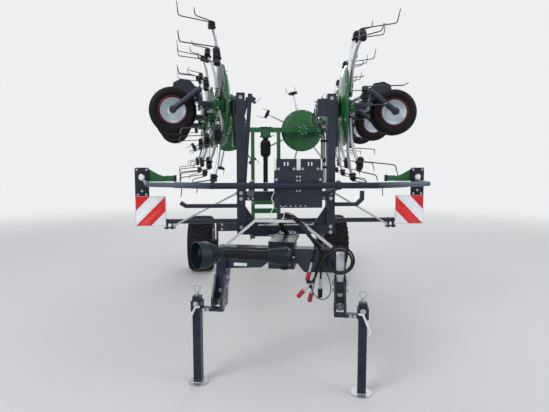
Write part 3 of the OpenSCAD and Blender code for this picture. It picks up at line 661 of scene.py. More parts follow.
# %% One arm with its foot clamp
HOLDER_R, HOLDER_Z, COIL_R, WIRE_R = 0.667, -0.16, 0.024, 0.0048


def arm_mesh():
    bm = bmesh.new()
    line = rounded(mm([(102, 0, -99.6), (387, 0, -99.6), (555, 0, -121.3), (625, 0, -146), (660, 0, -157)]), 0.06, 4)
    radii = [0.015 if p.x < 0.5 else 0.015 - 0.0018 * (p.x - 0.5) / 0.16 for p in line]
    sweep(bm, line, radii, sides=12)
    for y in (-0.016, 0.016):
        lathe(bm, mm([(0, 0), (7.5, 0), (7.5, 12), (6, 14), (0, 14)]), 6, place=move(0.132, y * 1.45, -0.104)
              @ turn(180, "X"))
    return shape(bm, zinc_coat)


def clamp_mesh():
    """A pressed strap over the arm's foot, and the saddle and drum that hold the springs."""
    bm = bmesh.new()
    strap = mm([(-33, -84.6), (-33, -91.6), (-18.5, -93), (-16.5, -114), (-9, -118.5), (9, -118.5), (16.5, -114),
                (18.5, -93), (33, -91.6), (33, -84.6)])
    slab(bm, strap, 0.112, 0.15, place=Matrix(((0, 0, 1, 0), (1, 0, 0, 0), (0, 1, 0, 0), (0, 0, 0, 1))))
    drum = mm([(0, -43.5), (23.5, -43.5), (27.5, -40), (27.5, -35), (21.5, -31), (21.5, 31), (27.5, 35), (27.5, 40),
               (23.5, 43.5), (0, 43.5)])
    lathe(bm, drum, 18, place=move(HOLDER_R, 0, HOLDER_Z) @ turn(90, "X"))
    block(bm, (0.63, -0.0235, -0.187), (0.694, 0.0235, -0.131), edge=0.005)
    for y in (-0.074, 0.074):
        lathe(bm, mm([(0, -3), (16, -3), (19, 0), (16, 3), (0, 3)]), 14, place=move(HOLDER_R, y, HOLDER_Z)
              @ turn(90, "X"))
    return shape(bm, black_plastic)


# %% The wire of one arm: two coils, two shanks, two hooks
def wire_line(side, length, hook):
    turns, steps = 2.65, 30
    line = []
    for k in range(steps + 1):
        angle = 2 * math.pi * turns * (1 - k / steps)
        y = side * (0.044 + 0.0255 * k / steps)
        line.append(Vector((HOLDER_R + COIL_R * math.cos(angle), y, HOLDER_Z + COIL_R * math.sin(angle))))
    y = side * 0.0698
    foot = Vector((0.727, y, -0.158 - length))
    tip = Vector((0.7262 + hook, y, -0.158 - length - hook * 0.1))
    return line + rounded([(HOLDER_R + COIL_R + 0.001, y, HOLDER_Z - 0.012), foot, tip], 0.022, 5)


def wire_mesh():
    bm = bmesh.new()
    for side, length, hook in ((1, 0.275, 0.112), (-1, 0.142, 0.06)):
        line = wire_line(side, length, hook)
        radii = [WIRE_R] * (len(line) - 1) + [WIRE_R * 0.7]
        sweep(bm, line, radii, sides=7)
    lathe(bm, mm([(0, 0), (8.5, 0), (8.5, 9), (7, 10.5), (0, 10.5)]), 6, place=move(0.648, 0, -0.1315))
    return shape(bm, tine_steel)


ARMS, CLAMPS, WIRES = ring(arm_mesh(), 7), ring(clamp_mesh(), 7), ring(wire_mesh(), 7)
print("one rotor's arms, clamps and wires:", [len(mesh.polygons) for mesh in (ARMS, CLAMPS, WIRES)], "faces")

# %% Dress the eight rotors
DOMES = ring(made(zinc_coat, lathe, mm([(0, 0), (10.5, 0), (9.5, 3.5), (5, 6), (0, 6.6)]), 12,
                  place=move(0.336, 0, -0.0395) @ turn(30, "Y")), 7, math.pi / 7)
# Pressed ribs under the dish, from its hub to its rim
RIBS = ring(made(green_paint, sweep, mm([(150, 0, -32.5), (250, 0, -30), (322, 0, -44)]), [0.004, 0.0055, 0.004], 8,
                 flat=0.8), 14)
for index, (side, step) in enumerate(ROTORS):
    place = rotor_place(index) @ turn(180 if side < 0 else 0, "Z")
    dress(f"rotor_arms_{index + 1}", [(ARMS, place), (CLAMPS, place), (WIRES, place)], f"rotor_{index + 1}",
          [f"tines_{index + 1}"])
    dress(f"dish_trim_{index + 1}", [(DOMES, place), (RIBS, place)], f"rotor_{index + 1}")

# %% [markdown]
# ## The rotor wheels
#
# Small cushion tyres with three grooves, on pale pressed rims whose edge is red. Tyre and rim are both turned
# parts, so each is one outline: the tyre's runs up the wall, over the ribs and back inside, and the rim's
# takes in the disc, the well and the flange. Five nuts hold the rim.

# %% Outlines of the small wheel
def mirrored(half):
    """An outline's one half and its mirror image, as one closed outline."""
    return half + [(r, -z) for r, z in reversed(half)]


SMALL_TYRE = mirrored(mm([(115, 30), (116.5, 64), (129, 68), (140, 76.5), (160, 82.2), (172, 81.5), (179, 78),
                          (188, 71.5), (196, 63), (201, 54), (203.5, 46), (197.5, 44), (197.5, 38), (204.5, 36),
                          (204.9, 18), (198.5, 16.5), (198.5, 10.5), (204.9, 9)]))
SMALL_RIM = mm([(15.5, 65.5), (30, 65.5), (34, 60), (40, 38), (69, 30), (86, 30), (96, 34), (105, 33.5), (109.5, 42),
                (110.5, 64), (112, 69), (117, 69), (114, 25), (114, -25), (117, -69), (112, -69), (110.5, -64),
                (109.5, -30), (105, 23.5), (69, 20), (40, -38), (34, -60), (30, -65.5), (15.5, -65.5)])
RED_EDGE = mm([(108.5, 68), (123, 68.4), (127, 70), (126.5, 72.2), (122.5, 74), (109, 72)])


def small_wheel():
    bm = bmesh.new()
    lathe(bm, SMALL_TYRE, 56, 0)
    lathe(bm, SMALL_RIM, 40, 1)
    lathe(bm, RED_EDGE, 40, 2)
    lathe(bm, [(r, -z) for r, z in RED_EDGE], 40, 2)
    return shape(bm, rubber, rim_paint, red_rim)


WHEEL, NUTS = small_wheel(), bolt_ring(0.019, 5, 0.078, 0.03)
VALVE = made(black_plastic, sweep, mm([(98, 0, 33.5), (100, 0, 52)]), 0.004, 8)
print("small wheel:", len(WHEEL.polygons), "faces")

# %% Dress the eight rotor wheels
for index in range(8):
    place = rotor_place(index) @ move(0.0, -0.06, -0.495) @ turn(-90, "Y")
    dress(f"small_wheel_{index + 1}", [(WHEEL, place), (NUTS, place), (VALVE, place)], f"running_wheel_{index + 1}",
          [f"rotor_wheel_{index + 1}"])

# %% [markdown]
# ## The transport wheels
#
# Wide low-pressure tyres with two rows of slanting blocks. The carcass is turned a little smaller than the
# solid, so that the blocks end at its true size. One block follows the round of the shoulder in five
# sections, and the ring tree sets it all round, once for each row.

# %% Carcass and tread blocks
TYRE_R, AXLE_Y, TRACK_X = 0.4285, 1.28, 1.04
BIG_TYRE = mirrored(mm([(215.8, 60), (215.8, 162.5), (225, 166), (240, 165), (255, 172), (290, 183), (302, 186.2),
                        (306, 183.8), (328, 188), (348, 188.5), (356, 185), (376, 182), (395, 174), (407, 160),
                        (413.5, 135), (416, 90), (416.5, 30)]))


def tread_block(side):
    """One slanting block from near the middle of the tread down over the shoulder."""
    bm = bmesh.new()
    sections = mm([(6, 428.3, 0), (70, 428.1, 26), (125, 426.2, 50), (160, 419, 66), (182, 399, 74)])
    rings = []
    for z, outer, shift in sections:
        corners = []
        for r, lean in ((outer - 0.022, 1.1), (outer, 0.92)):
            for edge in (-1, 1) if r < outer else (1, -1):
                angle = (shift + edge * 0.0235 * lean) / TYRE_R
                corners.append(bm.verts.new((r * math.cos(angle), r * math.sin(angle), side * z)))
        rings.append(corners)
    bm.faces.new(rings[0])
    bm.faces.new(rings[-1][::-1])
    for a, b in zip(rings, rings[1:]):
        for k in range(4):
            j = (k + 1) % 4
            bm.faces.new((a[k], a[j], b[j], b[k]))
    return shape(bm, rubber, crease=20.0)


CARCASS = made(rubber, lathe, BIG_TYRE, 80)
BLOCKS = [ring(tread_block(side), 30, side * math.pi / 60) for side in (-1, 1)]
BIG_NUTS = bolt_ring(0.027, 8, 0.0925, 0.0902, height=0.55)
HUB_CAP = made(black_plastic, lathe, mm([(0, 130.2), (52, 130.2), (56, 133), (50, 140), (20, 142), (0, 142)]), 28)
for name, side in (("left", -1), ("right", 1)):
    place = move(side * TRACK_X, AXLE_Y, TYRE_R) @ turn(90 * side, "Y")
    dress(f"tyre_{name}", [(mesh, place) for mesh in (CARCASS, *BLOCKS)], f"transport_wheel_{name}",
          [f"transport_tyre_{name}"])
    dress(f"hub_trim_{name}", [(BIG_NUTS, place), (HUB_CAP, place)], f"transport_wheel_{name}")

# %% [markdown]
# ## Gearbox bolts and the joints between a wing's rotors
#
# Over each dish sits a cast gearbox: a flange with eight bolts, a lid with six, a filler plug. Between the
# rotors of a wing the beam is jointed, so that the machine can follow the ground; folded, these joints show
# as two cheek plates on a pin.

# %% One gearbox's fittings and one beam joint
PLUG = made(green_paint, lathe, mm([(0, 59.5), (30, 59.5), (30, 64), (22, 66), (22, 74), (19, 77), (0, 77)]), 20)
GEARBOX_TRIM = [bolt_ring(0.011, 8, 0.0988, -0.044), bolt_ring(0.013, 6, 0.066, 0.0595, 0.3), PLUG]


def beam_joint():
    bm = bmesh.new()
    outline = mm([(-115, -30), (-60, -58), (60, -58), (115, -30), (115, 30), (60, 58), (-60, 58), (-115, 30)])
    stand_up = turn(90, "X")
    for y in (-0.0402, 0.0522):
        slab(bm, outline, 0.0, 0.012, 0, move(0, y + 0.012, 0) @ stand_up, edge=0.002)
    lathe(bm, mm([(0, -66), (22, -66), (22, -50.5), (0, -50.5)]), 20, 1, stand_up)
    lathe(bm, mm([(0, 50.5), (22, 50.5), (22, 66), (0, 66)]), 20, 1, stand_up)
    return shape(bm, green_paint, zinc_coat)


JOINT = [(beam_joint(), HERE)]
for x in (-0.088, 0.088):
    for sign in (-1, 1):
        JOINT += bolts_at([(x, sign * 0.0522, 0.0)], 0.017, "Y", sign)
for body, indices in CARRIERS.items():
    parts = [(mesh, rotor_place(i) @ move(0, 0, BEAM_RISE)) for i in indices for mesh in GEARBOX_TRIM]
    if body != "folding_frame":
        for step in (1, 2):
            place = wing_place(ROTORS[indices[0]][0]) @ move(PITCH * (step + 1.0) - HINGE_X, 0, 0)
            parts += [(mesh, place @ there) for mesh, there in JOINT]
    dress(f"beam_fittings_{body}", parts, body)

# %% [markdown]
# ## The bolts of the wheel legs and the hinges
#
# Each rotor's column carries a plate, and the wheel's leg is bolted to it. A thin guard plate behind the wheel
# has bolts too. The wing hinges get washers and collars at the ends of their pins.

# %% Leg bolts and hinge washers
LEG_BOLTS = bolts_at([(x, y, -0.262) for x in (-0.085, -0.045, 0.07, 0.11) for y in (-0.03, 0.12)], 0.019)
LEG_BOLTS += bolts_at(mm([(-101.5, 70, -295), (-101.5, 130, -295)]), 0.015, "X")
LEG_BOLTS += bolts_at([(0.1585, -0.06, -0.495)], 0.03, "X", finish=slate_paint)
washer = bmesh.new()
lathe(washer, mm([(0, 0), (33, 0), (33, 5), (0, 5)]), 24)
lathe(washer, mm([(0, 4), (18.5, 4), (18.5, 20), (16, 23), (0, 23)]), 20)
WASHER = shape(washer, zinc_coat)
for body, indices in CARRIERS.items():
    parts = [(mesh, rotor_place(i) @ there) for i in indices for mesh, there in LEG_BOLTS]
    if body == "folding_frame":
        parts += [(WASHER, FOLDED @ move(side * HINGE_X, sign * 0.0722, BEAM_RISE) @ turn(-90 * sign, "X"))
                  for side in (-1, 1) for sign in (-1, 1)]
    dress(f"leg_fittings_{body}", parts, body)

# %% [markdown]
# ## The warning boards
#
# Each board is a square sheet with slanting red and white bands that fall outwards, a dark bracket over it
# with a round white reflector, and a green gusset and arm behind. The bands are cut into the sheet's front as
# faces of their own, so the edge between red and white stays sharp at any distance. Retroreflecting sheet has
# a fine honeycomb; a small-scale Voronoi on the bump gives that.

# %% The sheet's two finishes
def make_sheeting(name, color):
    material = make_finish(name, color, 0.22, 0.04, clouds=6.0, coat=0.3, shine=0.35)
    tree = material.node_tree
    where = add_node(tree, "ShaderNodeTexCoord")
    cells = add_node(tree, "ShaderNodeTexVoronoi", Scale=420.0)
    bumps = add_node(tree, "ShaderNodeBump", Distance=0.0005, Strength=0.25)
    wire(tree, (where, "Object", cells, "Vector"), (cells, "Distance", bumps, "Height"),
         (bumps, 0, tree.nodes["Principled BSDF"], "Normal"))
    return material


board_red = make_sheeting("red sheeting", (222, 24, 26))
board_white = make_sheeting("white sheeting", (236, 240, 246))
print("sheeting:", board_red.name, "and", board_white.name)

# %% A striped board with its bracket
BOARD_S, BOARD_INSET, BOARD_X, BOW_Z, BRACKET_W = 0.282, 0.004, 1.39, 1.488, 0.13


def clipped(polygon, low, high):
    """The part of a polygon where x + y lies between low and high."""
    for keep, limit in ((1, low), (-1, -high)):
        kept = []
        for p, q in zip(polygon, polygon[1:] + polygon[:1]):
            dp, dq = keep * (p[0] + p[1]) - limit, keep * (q[0] + q[1]) - limit
            if dp >= 0:
                kept.append(p)
            if (dp >= 0) != (dq >= 0):
                t = dp / (dp - dq)
                kept.append((p[0] + (q[0] - p[0]) * t, p[1] + (q[1] - p[1]) * t))
        polygon = kept
    return polygon


def board_mesh():
    """The right-hand board: x outwards from its inner edge, y upwards, facing the front."""
    bm = bmesh.new()
    block(bm, (0, 0, 0), (BOARD_S, BOARD_S, 0.0044), 2, edge=0.0008)
    low, high, band = BOARD_INSET, BOARD_S - BOARD_INSET, BOARD_S / 2
    for k in range(4):
        part = clipped([(low, low), (high, low), (high, high), (low, high)], band * k, band * (k + 1))
        slab(bm, part, 0.004, 0.0056, (k + 1) % 2)
    return shape(bm, board_red, board_white, zinc_coat, crease=10.0)


def bracket_mesh():
    """The dark plate behind the board, its green gusset and the short green arm with a dark end."""
    bm = bmesh.new()
    slab(bm, [(0.0, 0.0), (BRACKET_W, 0.0), (BRACKET_W, 0.318), (0.122, 0.328), (0.008, 0.328), (0.0, 0.32)], 0.0,
         0.008, edge=0.0012)
    slab(bm, mm([(-150, 197), (-150, 244), (-90, 262), (14, 322), (14, 197)]), -0.0118, -0.0062, 1, edge=0.001)
    block(bm, (-0.246, 0.199, -0.046), (-0.146, 0.252, -0.008), 1, edge=0.003)
    block(bm, (-0.25, 0.194, -0.05), (-0.228, 0.257, -0.004), 0, edge=0.004)
    return shape(bm, dark_paint, green_paint)


def reflector_mesh():
    bm = bmesh.new()
    lathe(bm, mm([(0, 0), (30, 0), (30, 5), (26, 7), (0, 7)]), 28, 0)
    lathe(bm, mm([(0, 6.5), (24, 6.5), (22, 9.5), (12, 10.5), (0, 10.8)]), 28, 1)
    return shape(bm, zinc_coat, board_white)


BOARD, BRACKET, REFLECTOR, BOARD_BOLT = board_mesh(), bracket_mesh(), reflector_mesh(), bolt(0.013)
BOLT_SPOTS = mm([(20, 308), (110, 308), (26, 74), (104, 74), (66, 108)])
for name, side in (("left", -1), ("right", 1)):
    sheet_place = flip(side) @ move(BOARD_X - BOARD_S, BOARD_Y, BOW_Z - 0.14 - BOARD_S) @ turn(90, "X")
    bracket_place = flip(side) @ move(BOARD_X - BRACKET_W, BOARD_Y, BOW_Z - 0.2) @ turn(90, "X") @ move(0, 0, -0.008)
    parts = [(BOARD, sheet_place), (BRACKET, bracket_place), (REFLECTOR, bracket_place @ move(0.066, 0.236, 0.008))]
    parts += [(BOARD_BOLT, bracket_place @ move(x, y, 0.008)) for x, y in BOLT_SPOTS]
    dress(f"striped_board_{name}", parts, "chassis", [f"board_{name}"])

# %% [markdown]
# ## The drive shaft in its holder
#
# The shaft lies across the yoke with a bell guard at each joint. The solid keeps its tube, its angle drive and
# its splined bore; here they get the ribs, clips and cross joint of a real guard, and the free bell sags a
# little on its joint towards the front, so that one looks into it.

# %% Drive shaft, guards and joint
SHAFT_FAR, SHAFT_NEAR = Vector((0.04, HITCH_Y + 0.03, 0.975)), Vector((-0.49, HITCH_Y - 0.206, 1.036))
SHAFT_LINE = SHAFT_NEAR - SHAFT_FAR
SHAFT_L = SHAFT_LINE.length
SHAFT_PLACE = YOKE @ along(SHAFT_FAR, SHAFT_LINE)
BELL_START = SHAFT_L - 0.112
BELL_PLACE = YOKE @ along(SHAFT_FAR + SHAFT_LINE.normalized() * BELL_START, Vector((-0.72, -0.692, 0.03)))
DRIVE_PLACE = move(0.04, HITCH_Y + 0.1297, 0.962) @ turn(90, "X")


def shaft_tube():
    bm = bmesh.new()
    ribs = mm([(0, -60), (20, -58), (40, -48), (56, -28), (62, 0), (66.5, 4), (66.5, 12), (64, 14)])
    for k in range(6):
        z = 0.02 + 0.017 * k
        r = 0.0635 - 0.0022 * k
        ribs += [(r, z), (r, z + 0.009), (r - 0.0035, z + 0.011), (r - 0.0035, z + 0.016)]
    ribs += mm([(44, 124), (44, 140), (0, 141)])
    lathe(bm, ribs, 32)
    sleeve = [(0.0, 0.12), (0.038, 0.122), (0.038, 0.33), (0.036, 0.332), (0.0345, 0.334),
              (0.0345, BELL_START - 0.022), (0.04, BELL_START - 0.02), (0.04, BELL_START + 0.012),
              (0.0, BELL_START + 0.012)]
    lathe(bm, sleeve, 32, 1)
    return shape(bm, guard_plastic, black_plastic)


# The free guard is a hollow bell with ribs, open at its end
BELL_OUTLINE = mm([(41.5, -10), (48, -4), (48, 10), (53, 14), (59, 26), (56, 30), (66, 40), (70, 52), (67, 56),
                   (78, 66), (84, 80), (81, 84), (91, 94), (93.5, 104), (93.5, 164), (96.5, 166), (96.5, 174),
                   (93.5, 176), (89.5, 176), (89.5, 106), (86, 98), (64, 58), (50, 26), (41.5, 16)])


def inner_joint():
    """The splined hub with its ring groove, the fork behind it and the cross between."""
    bm = bmesh.new()
    end = SHAFT_L + 0.034
    hub = [(0.0175, end), (0.0175, SHAFT_L - 0.04), (0.0, SHAFT_L - 0.04), (0.0, SHAFT_L - 0.05),
           (0.03, SHAFT_L - 0.05), (0.033, SHAFT_L - 0.03), (0.033, SHAFT_L - 0.004), (0.029, SHAFT_L),
           (0.029, SHAFT_L + 0.01), (0.035, SHAFT_L + 0.013), (0.035, end - 0.003), (0.032, end)]
    lathe(bm, hub, 28)
    for side in (-1, 1):
        near, far = side * 0.036 - 0.0075, side * 0.036 + 0.0075
        block(bm, (near, -0.021, SHAFT_L - 0.086), (far, 0.021, SHAFT_L - 0.032), edge=0.004)
        block(bm, (-0.021, near, SHAFT_L - 0.1), (0.021, far, SHAFT_L - 0.056), edge=0.004)
    return shape(bm, tine_steel)


def angle_drive():
    bm = bmesh.new()
    lathe(bm, mm([(0, 0), (70, 0), (70, 38), (66, 48), (55, 50), (55, 110), (50, 118), (0, 118)]), 36, 0, DRIVE_PLACE)
    lathe(bm, mm([(0, 0), (28, 0), (33, 4), (33, 70), (0, 70)]), 24, 0, move(0.04, HITCH_Y + 0.054, 0.878))
    return shape(bm, black_plastic)


TEETH = ring(made(tine_steel, block, (0.0155, -0.0032, SHAFT_L - 0.038), (0.0182, 0.0032, SHAFT_L + 0.032),
                  edge=0.0006), 8)
bands = bmesh.new()
for z in (0.132, BELL_START - 0.01):
    lathe(bands, [(0.0405, z - 0.004), (0.0455, z - 0.004), (0.0455, z + 0.004), (0.0405, z + 0.004)], 28)
dress("guarded_shaft", [(shaft_tube(), SHAFT_PLACE), (made(guard_plastic, lathe, BELL_OUTLINE, 40), BELL_PLACE),
                        (inner_joint(), SHAFT_PLACE), (TEETH, SHAFT_PLACE), (angle_drive(), YOKE),
                        (shape(bands, dark_paint), SHAFT_PLACE),
                        (bolt_ring(0.013, 6, 0.0615, 0.046), YOKE @ DRIVE_PLACE)], "yoke", ["drive_shaft"])

# %% [markdown]
# ## The hydraulic hoses
#
# Four hoses leave the drawbar in one bundle, rise over the bail and come down to the right leg. Two of them
# make a round loop there before they hang down; two hang straight. Each is one line of points with no bend
# tighter than a hose can take, swept at its true diameter, and ends in the ferrule of its coupling. A thin
# cable hangs beside them. The length of each line is printed.

# %% A line through a few points
def curve(points, steps):
    """A smooth line through all the points, with so many steps between two of them."""
    points = [Vector(p) for p in points]
    ends = [points[0] * 2 - points[1]] + points + [points[-1] * 2 - points[-2]]
    line = []
    for a, b, c, d in zip(ends, ends[1:], ends[2:], ends[3:]):
        for k in range(steps):
            t = k / steps
            line.append((b * 2 + (c - a) * t + (a * 2 - b * 5 + c * 4 - d) * t * t
                         + (b * 3 - a - c * 3 + d) * t ** 3) * 0.5)
    return line + [points[-1]]


def length_of(line):
    return sum((b - a).length for a, b in zip(line, line[1:]))


def lay_cord(cord, line, fitting):
    """Print the length of a cord along the line it follows; fitting is not used."""
    print(cord.name, "is", round(length_of(line), 2), "m long")


# %% The four hoses
TOP, LAST_Y, LOOP_X, LOOP_Z, LOOP_START = 1.0548, HITCH_Y + 0.04, 0.44, -0.098, 205
HOSE_D, BESIDE = 0.0155, 0.0085


def hung(points):
    """Points in millimetres from the steering axis, their heights counted from the yoke's top."""
    return [(x, y, TOP + z) for x, y, z in mm(points)]


BUNDLE = hung([(0, -60, 14), (-36, -170, 105), (-34, -290, 178), (40, -395, 196), (130, -470, 170), (215, -530, 70)])


def looped(first_y, pitch, turns, r, drop):
    """Points down the bundle, round the loop and down to the coupling."""
    points = BUNDLE + [(0.3, first_y + 0.012, TOP)]
    count = int(turns * 12)
    for k in range(count + 1):
        angle = math.radians(LOOP_START) + 2 * math.pi * turns * k / count
        y = first_y - pitch * turns * k / count
        points.append((LOOP_X + r * math.cos(angle), y, TOP + LOOP_Z + r * math.sin(angle)))
    return points + [(x, y, TOP + z) for x, z in drop]


# Each hose's place in the bundle, to the side and upwards, then its route and the colour of its dust cover
route_a = looped(LAST_Y, 0.03, 1.75, 0.084, mm([(346, -56), (306, -110), (284, -168), (262, -222), (230, -262)]))
route_b = looped(LAST_Y + 0.03, 0.053, 0.75, 0.1, mm([(346, -50), (318, -118), (307, -190), (305, -240)]))
route_c = BUNDLE + hung([(262, -556, 0), (252, -550, -70), (238, -554, -130)])
route_d = BUNDLE + hung([(285, -532, -10), (298, -522, -110), (268, -528, -210), (250, -534, -292)])
HOSES = [("hose_a", -1, -1, route_a, red_plastic), ("hose_b", 1, -1, route_b, black_plastic),
         ("hose_c", -1, 1, route_c, red_plastic), ("hose_d", 1, 1, route_d, red_plastic)]


def coupling_mesh(cover):
    """Ferrule, hexagon and quick coupler along +Z, and the dust cap or sleeve over it."""
    bm = bmesh.new()
    lathe(bm, mm([(0, -22), (10, -22), (10.8, -18), (10, 6), (0, 6)]), 18, 0)
    lathe(bm, mm([(0, 4), (13, 4), (13, 18), (0, 18)]), 6, 0)
    lathe(bm, mm([(0, 17), (9.5, 17), (9.5, 34), (12.5, 36), (12.5, 50), (10.5, 52), (0, 52)]), 20, 0)
    lathe(bm, mm([(0, 48), (16.5, 48), (17.5, 54), (16.5, 60), (17.5, 66), (16.5, 72), (17.5, 78), (16.5, 86),
                  (16.5, 108), (14, 114), (0, 114)]), 20, 1)
    return shape(bm, zinc_coat, cover)


for name, across, over, points, cover in HOSES:
    line = curve(points, 3)
    # Side by side as far as the bundle's last clamp, then each runs into its own line
    last_clamp, let_go = len(BUNDLE) * 3 - 6, 6
    laid = []
    for k, (point, (side, up)) in enumerate(zip(line, frames_along(line))):
        hold = max(0.0, 1.0 - max(0, k - last_clamp) / let_go)
        laid.append(YOKE @ (point + (side * across * BESIDE + up * over * BESIDE) * hold))
    hose = dress(name, [(made(hose_rubber, sweep, laid, HOSE_D / 2, 12), HERE)], "yoke", ["hoses"])
    way = (laid[-1] - laid[-2]).normalized()
    coupling = dress(name + "_coupling", [(coupling_mesh(cover), along(laid[-1] + way * 0.016, way))], "yoke",
                     ["hoses"])
    lay_cord(hose, laid, coupling)

# %% The cable of the lamps
CABLE = hung([(10, -100, 50), (-6, -190, 150), (0, -300, 205), (70, -405, 215), (165, -485, 155), (262, -550, 20),
              (330, -604, -130), (378, -626, -270), (366, -630, -345), (317, -632, -372), (268, -632, -345),
              (240, -630, -290)])
cable_line = [YOKE @ p for p in curve(CABLE, 3)]
cable = dress("lamp_cable", [(made(hose_rubber, sweep, cable_line, 0.0035, 8), HERE)], "yoke", ["hoses"])
lamp_plug = made(black_plastic, lathe, mm([(0, -10), (6, -10), (13.5, 0), (13.5, 38), (16, 40), (16, 52), (0, 52)]),
                 18)
way = (cable_line[-1] - cable_line[-2]).normalized()
lamp_plug = dress("lamp_plug", [(lamp_plug, along(cable_line[-1] + way * 0.006, way))], "yoke", ["hoses"])
lay_cord(cable, cable_line, lamp_plug)

# %% [markdown]
# ## The yoke's fittings
#
# Bolts through the ears, a ring round each link seat's bore, a blank plate on the left web, a pale strip on
# the right leg's face that is a painted reflection of the sky, the cap of the steering pin, the straps that
# hold the hoses and the two latch handles of the stands. The bores themselves stay open.

# %% Fittings on the yoke
SEAT_RING = made(zinc_coat, lathe, mm([(15.2, 0), (27, 0), (27, 4), (24, 5.5), (15.2, 5.5)]), 28)
HANDLE = mm([(572, 48, 600), (604, 54, 598), (656, 70, 478), (645, 72, 464)])
yoke_parts = []
for side in (-1, 1):
    for out in (-1, 1):
        x, sign = side * (LINK_X + out * 0.043), side * out
        yoke_parts += bolts_at([(x, HITCH_Y + y, z) for y, z in ((0.085, 0.795), (0.06, 0.735), (0.125, 0.76))],
                               0.021, "X", sign)
        yoke_parts.append((SEAT_RING, move(x, HITCH_Y, LINK_Z) @ turn(90 * sign, "Y")))
for side in (-1, 1):
    for x, y, z, size in ((LINK_X, 0.078, 0.7, 0.024), (LINK_X, 0.078, 0.606, 0.036), (0.52, -0.028, 0.574, 0.015),
                          (0.55, -0.028, 0.574, 0.015), (STAND_X, -0.04, 0.615, 0.024)):
        yoke_parts += bolts_at([(side * x, HITCH_Y + y, z)], size, "Y", -1)
    # The latch handle: a straight rod that hangs from the sleeve, turned in at its end
    handle = rounded([(side * x, HITCH_Y - y, z) for x, y, z in HANDLE], 0.01)
    yoke_parts.append((made(bright_zinc, sweep, handle, 0.0076), HERE))
yoke_parts.append((made(board_white, block, (-0.356, HITCH_Y + 0.127, 0.874), (-0.254, HITCH_Y + 0.1298, 0.897),
                        edge=0.001), HERE))
# A pale strip on the front of the right leg, in two lengths that follow its slope: a painted sky reflection on the
# leg's face
strip = bmesh.new()
for wide, tall, y, z, slope in ((0.058, 0.168, 0.0845, 0.842, 74.5), (0.05, 0.05, 0.0805, 0.792, 85.8)):
    block(strip, (0, 0, -0.0016), (wide, tall, 0.0014), 0, move(LINK_X - wide / 2, HITCH_Y + y, z) @ turn(slope, "X"),
          0.0006)
STEER_CAP = made(slate_paint, lathe, mm([(0, 1054), (78, 1054), (78, 1060), (44, 1062), (44, 1070), (40, 1074),
                                         (0, 1074)]), 32)
yoke_parts += [(shape(strip, zinc_coat), HERE), (STEER_CAP, HERE), (bolt_ring(0.016, 6, 0.061, 1.0598), HERE)]
HOSE_STRAP = made(black_plastic, lathe, mm([(20.2, -6), (22.2, -6), (22.2, 6), (20.2, 6)]), 20)
line = curve(BUNDLE, 3)
yoke_parts += [(HOSE_STRAP, along(line[k], (line[k + 1] - line[k]).normalized())) for k in (4, 9, 12)]
dress("yoke_fittings", [(mesh, YOKE @ place) for mesh, place in yoke_parts], "yoke")

# %% Painted shade in the holes of the stands, and their weld
FOOT_CORNERS = mm([(-30, -30), (30, -30), (30, 30), (-30, 30), (-30, -30)])
for name, side in (("left", -1), ("right", 1)):
    holes = bmesh.new()
    # Thin black discs on the stand's face: painted shade where its pin holes are
    for k in range(5):
        lathe(holes, mm([(0, 0), (6.8, 0), (6.6, 0.2), (0, 0.2)]), 14, 0,
              move(side * STAND_X, HITCH_Y - 0.03, 0.07 + 0.11 * k) @ turn(90, "X"))
    seam = made(zinc_coat, sweep, [(side * STAND_X + x, HITCH_Y + y, 0.0105) for x, y in FOOT_CORNERS], 0.0035, 8)
    dress(f"stand_trim_{name}", [(shape(holes, hole_shade_paint), YOKE), (seam, YOKE)], f"stand_leg_{name}")

# %% [markdown]
# ## Cover panel, guard bow and masts
#
# The panel's flaps have pale edges and bolts; the bow is bolted to its arms; the masts carry the valve block
# with its pipes, and bolted pads.

# %% Trim of the panel and the bow
PANEL_Y, ARM_X = -2.457, 0.312
bm = bmesh.new()
for x0, x1 in ((-0.1475, -0.1365), (0.011, 0.0225), (0.0275, 0.039), (0.1865, 0.1975)):
    block(bm, (x0, PANEL_Y - 0.0016, 1.599), (x1, PANEL_Y + 0.0004, 1.6805), edge=0.0005)
chassis_parts = [(shape(bm, edge_white), HERE)]
for xs, y, zs, size in (((-0.12, -0.006, 0.056, 0.17), 0.02, (1.606,), 0.014),
                        ((0.014, 0.036), 0, (1.552, 1.524, 1.449), 0.0085), ((-0.135, 0.185), 0, (1.53,), 0.012)):
    chassis_parts += bolts_at([(x, PANEL_Y + y, z) for x in xs for z in zs], size, "Y", -1)
rivet = made(zinc_coat, lathe, mm([(0, 0), (6.2, 0), (5, 2.5), (0, 3.4)]), 12, 0, move(-0.104, PANEL_Y, 1.339)
             @ turn(90, "X"))
chassis_parts.append((row(rivet, 6, (0.036, 0, 0)), HERE))
for side in (-1, 1):
    chassis_parts += bolts_at([(side * ARM_X, -BOW_Y, BOW_Z + 0.0315)], 0.016)
    chassis_parts += bolts_at([(side * ARM_X + x, -MAST_Y - 0.0478, z) for x in (-0.018, 0.018)
                               for z in (1.348, 1.392)], 0.013, "Y", -1)
dress("panel_and_bow_trim", chassis_parts, "chassis")

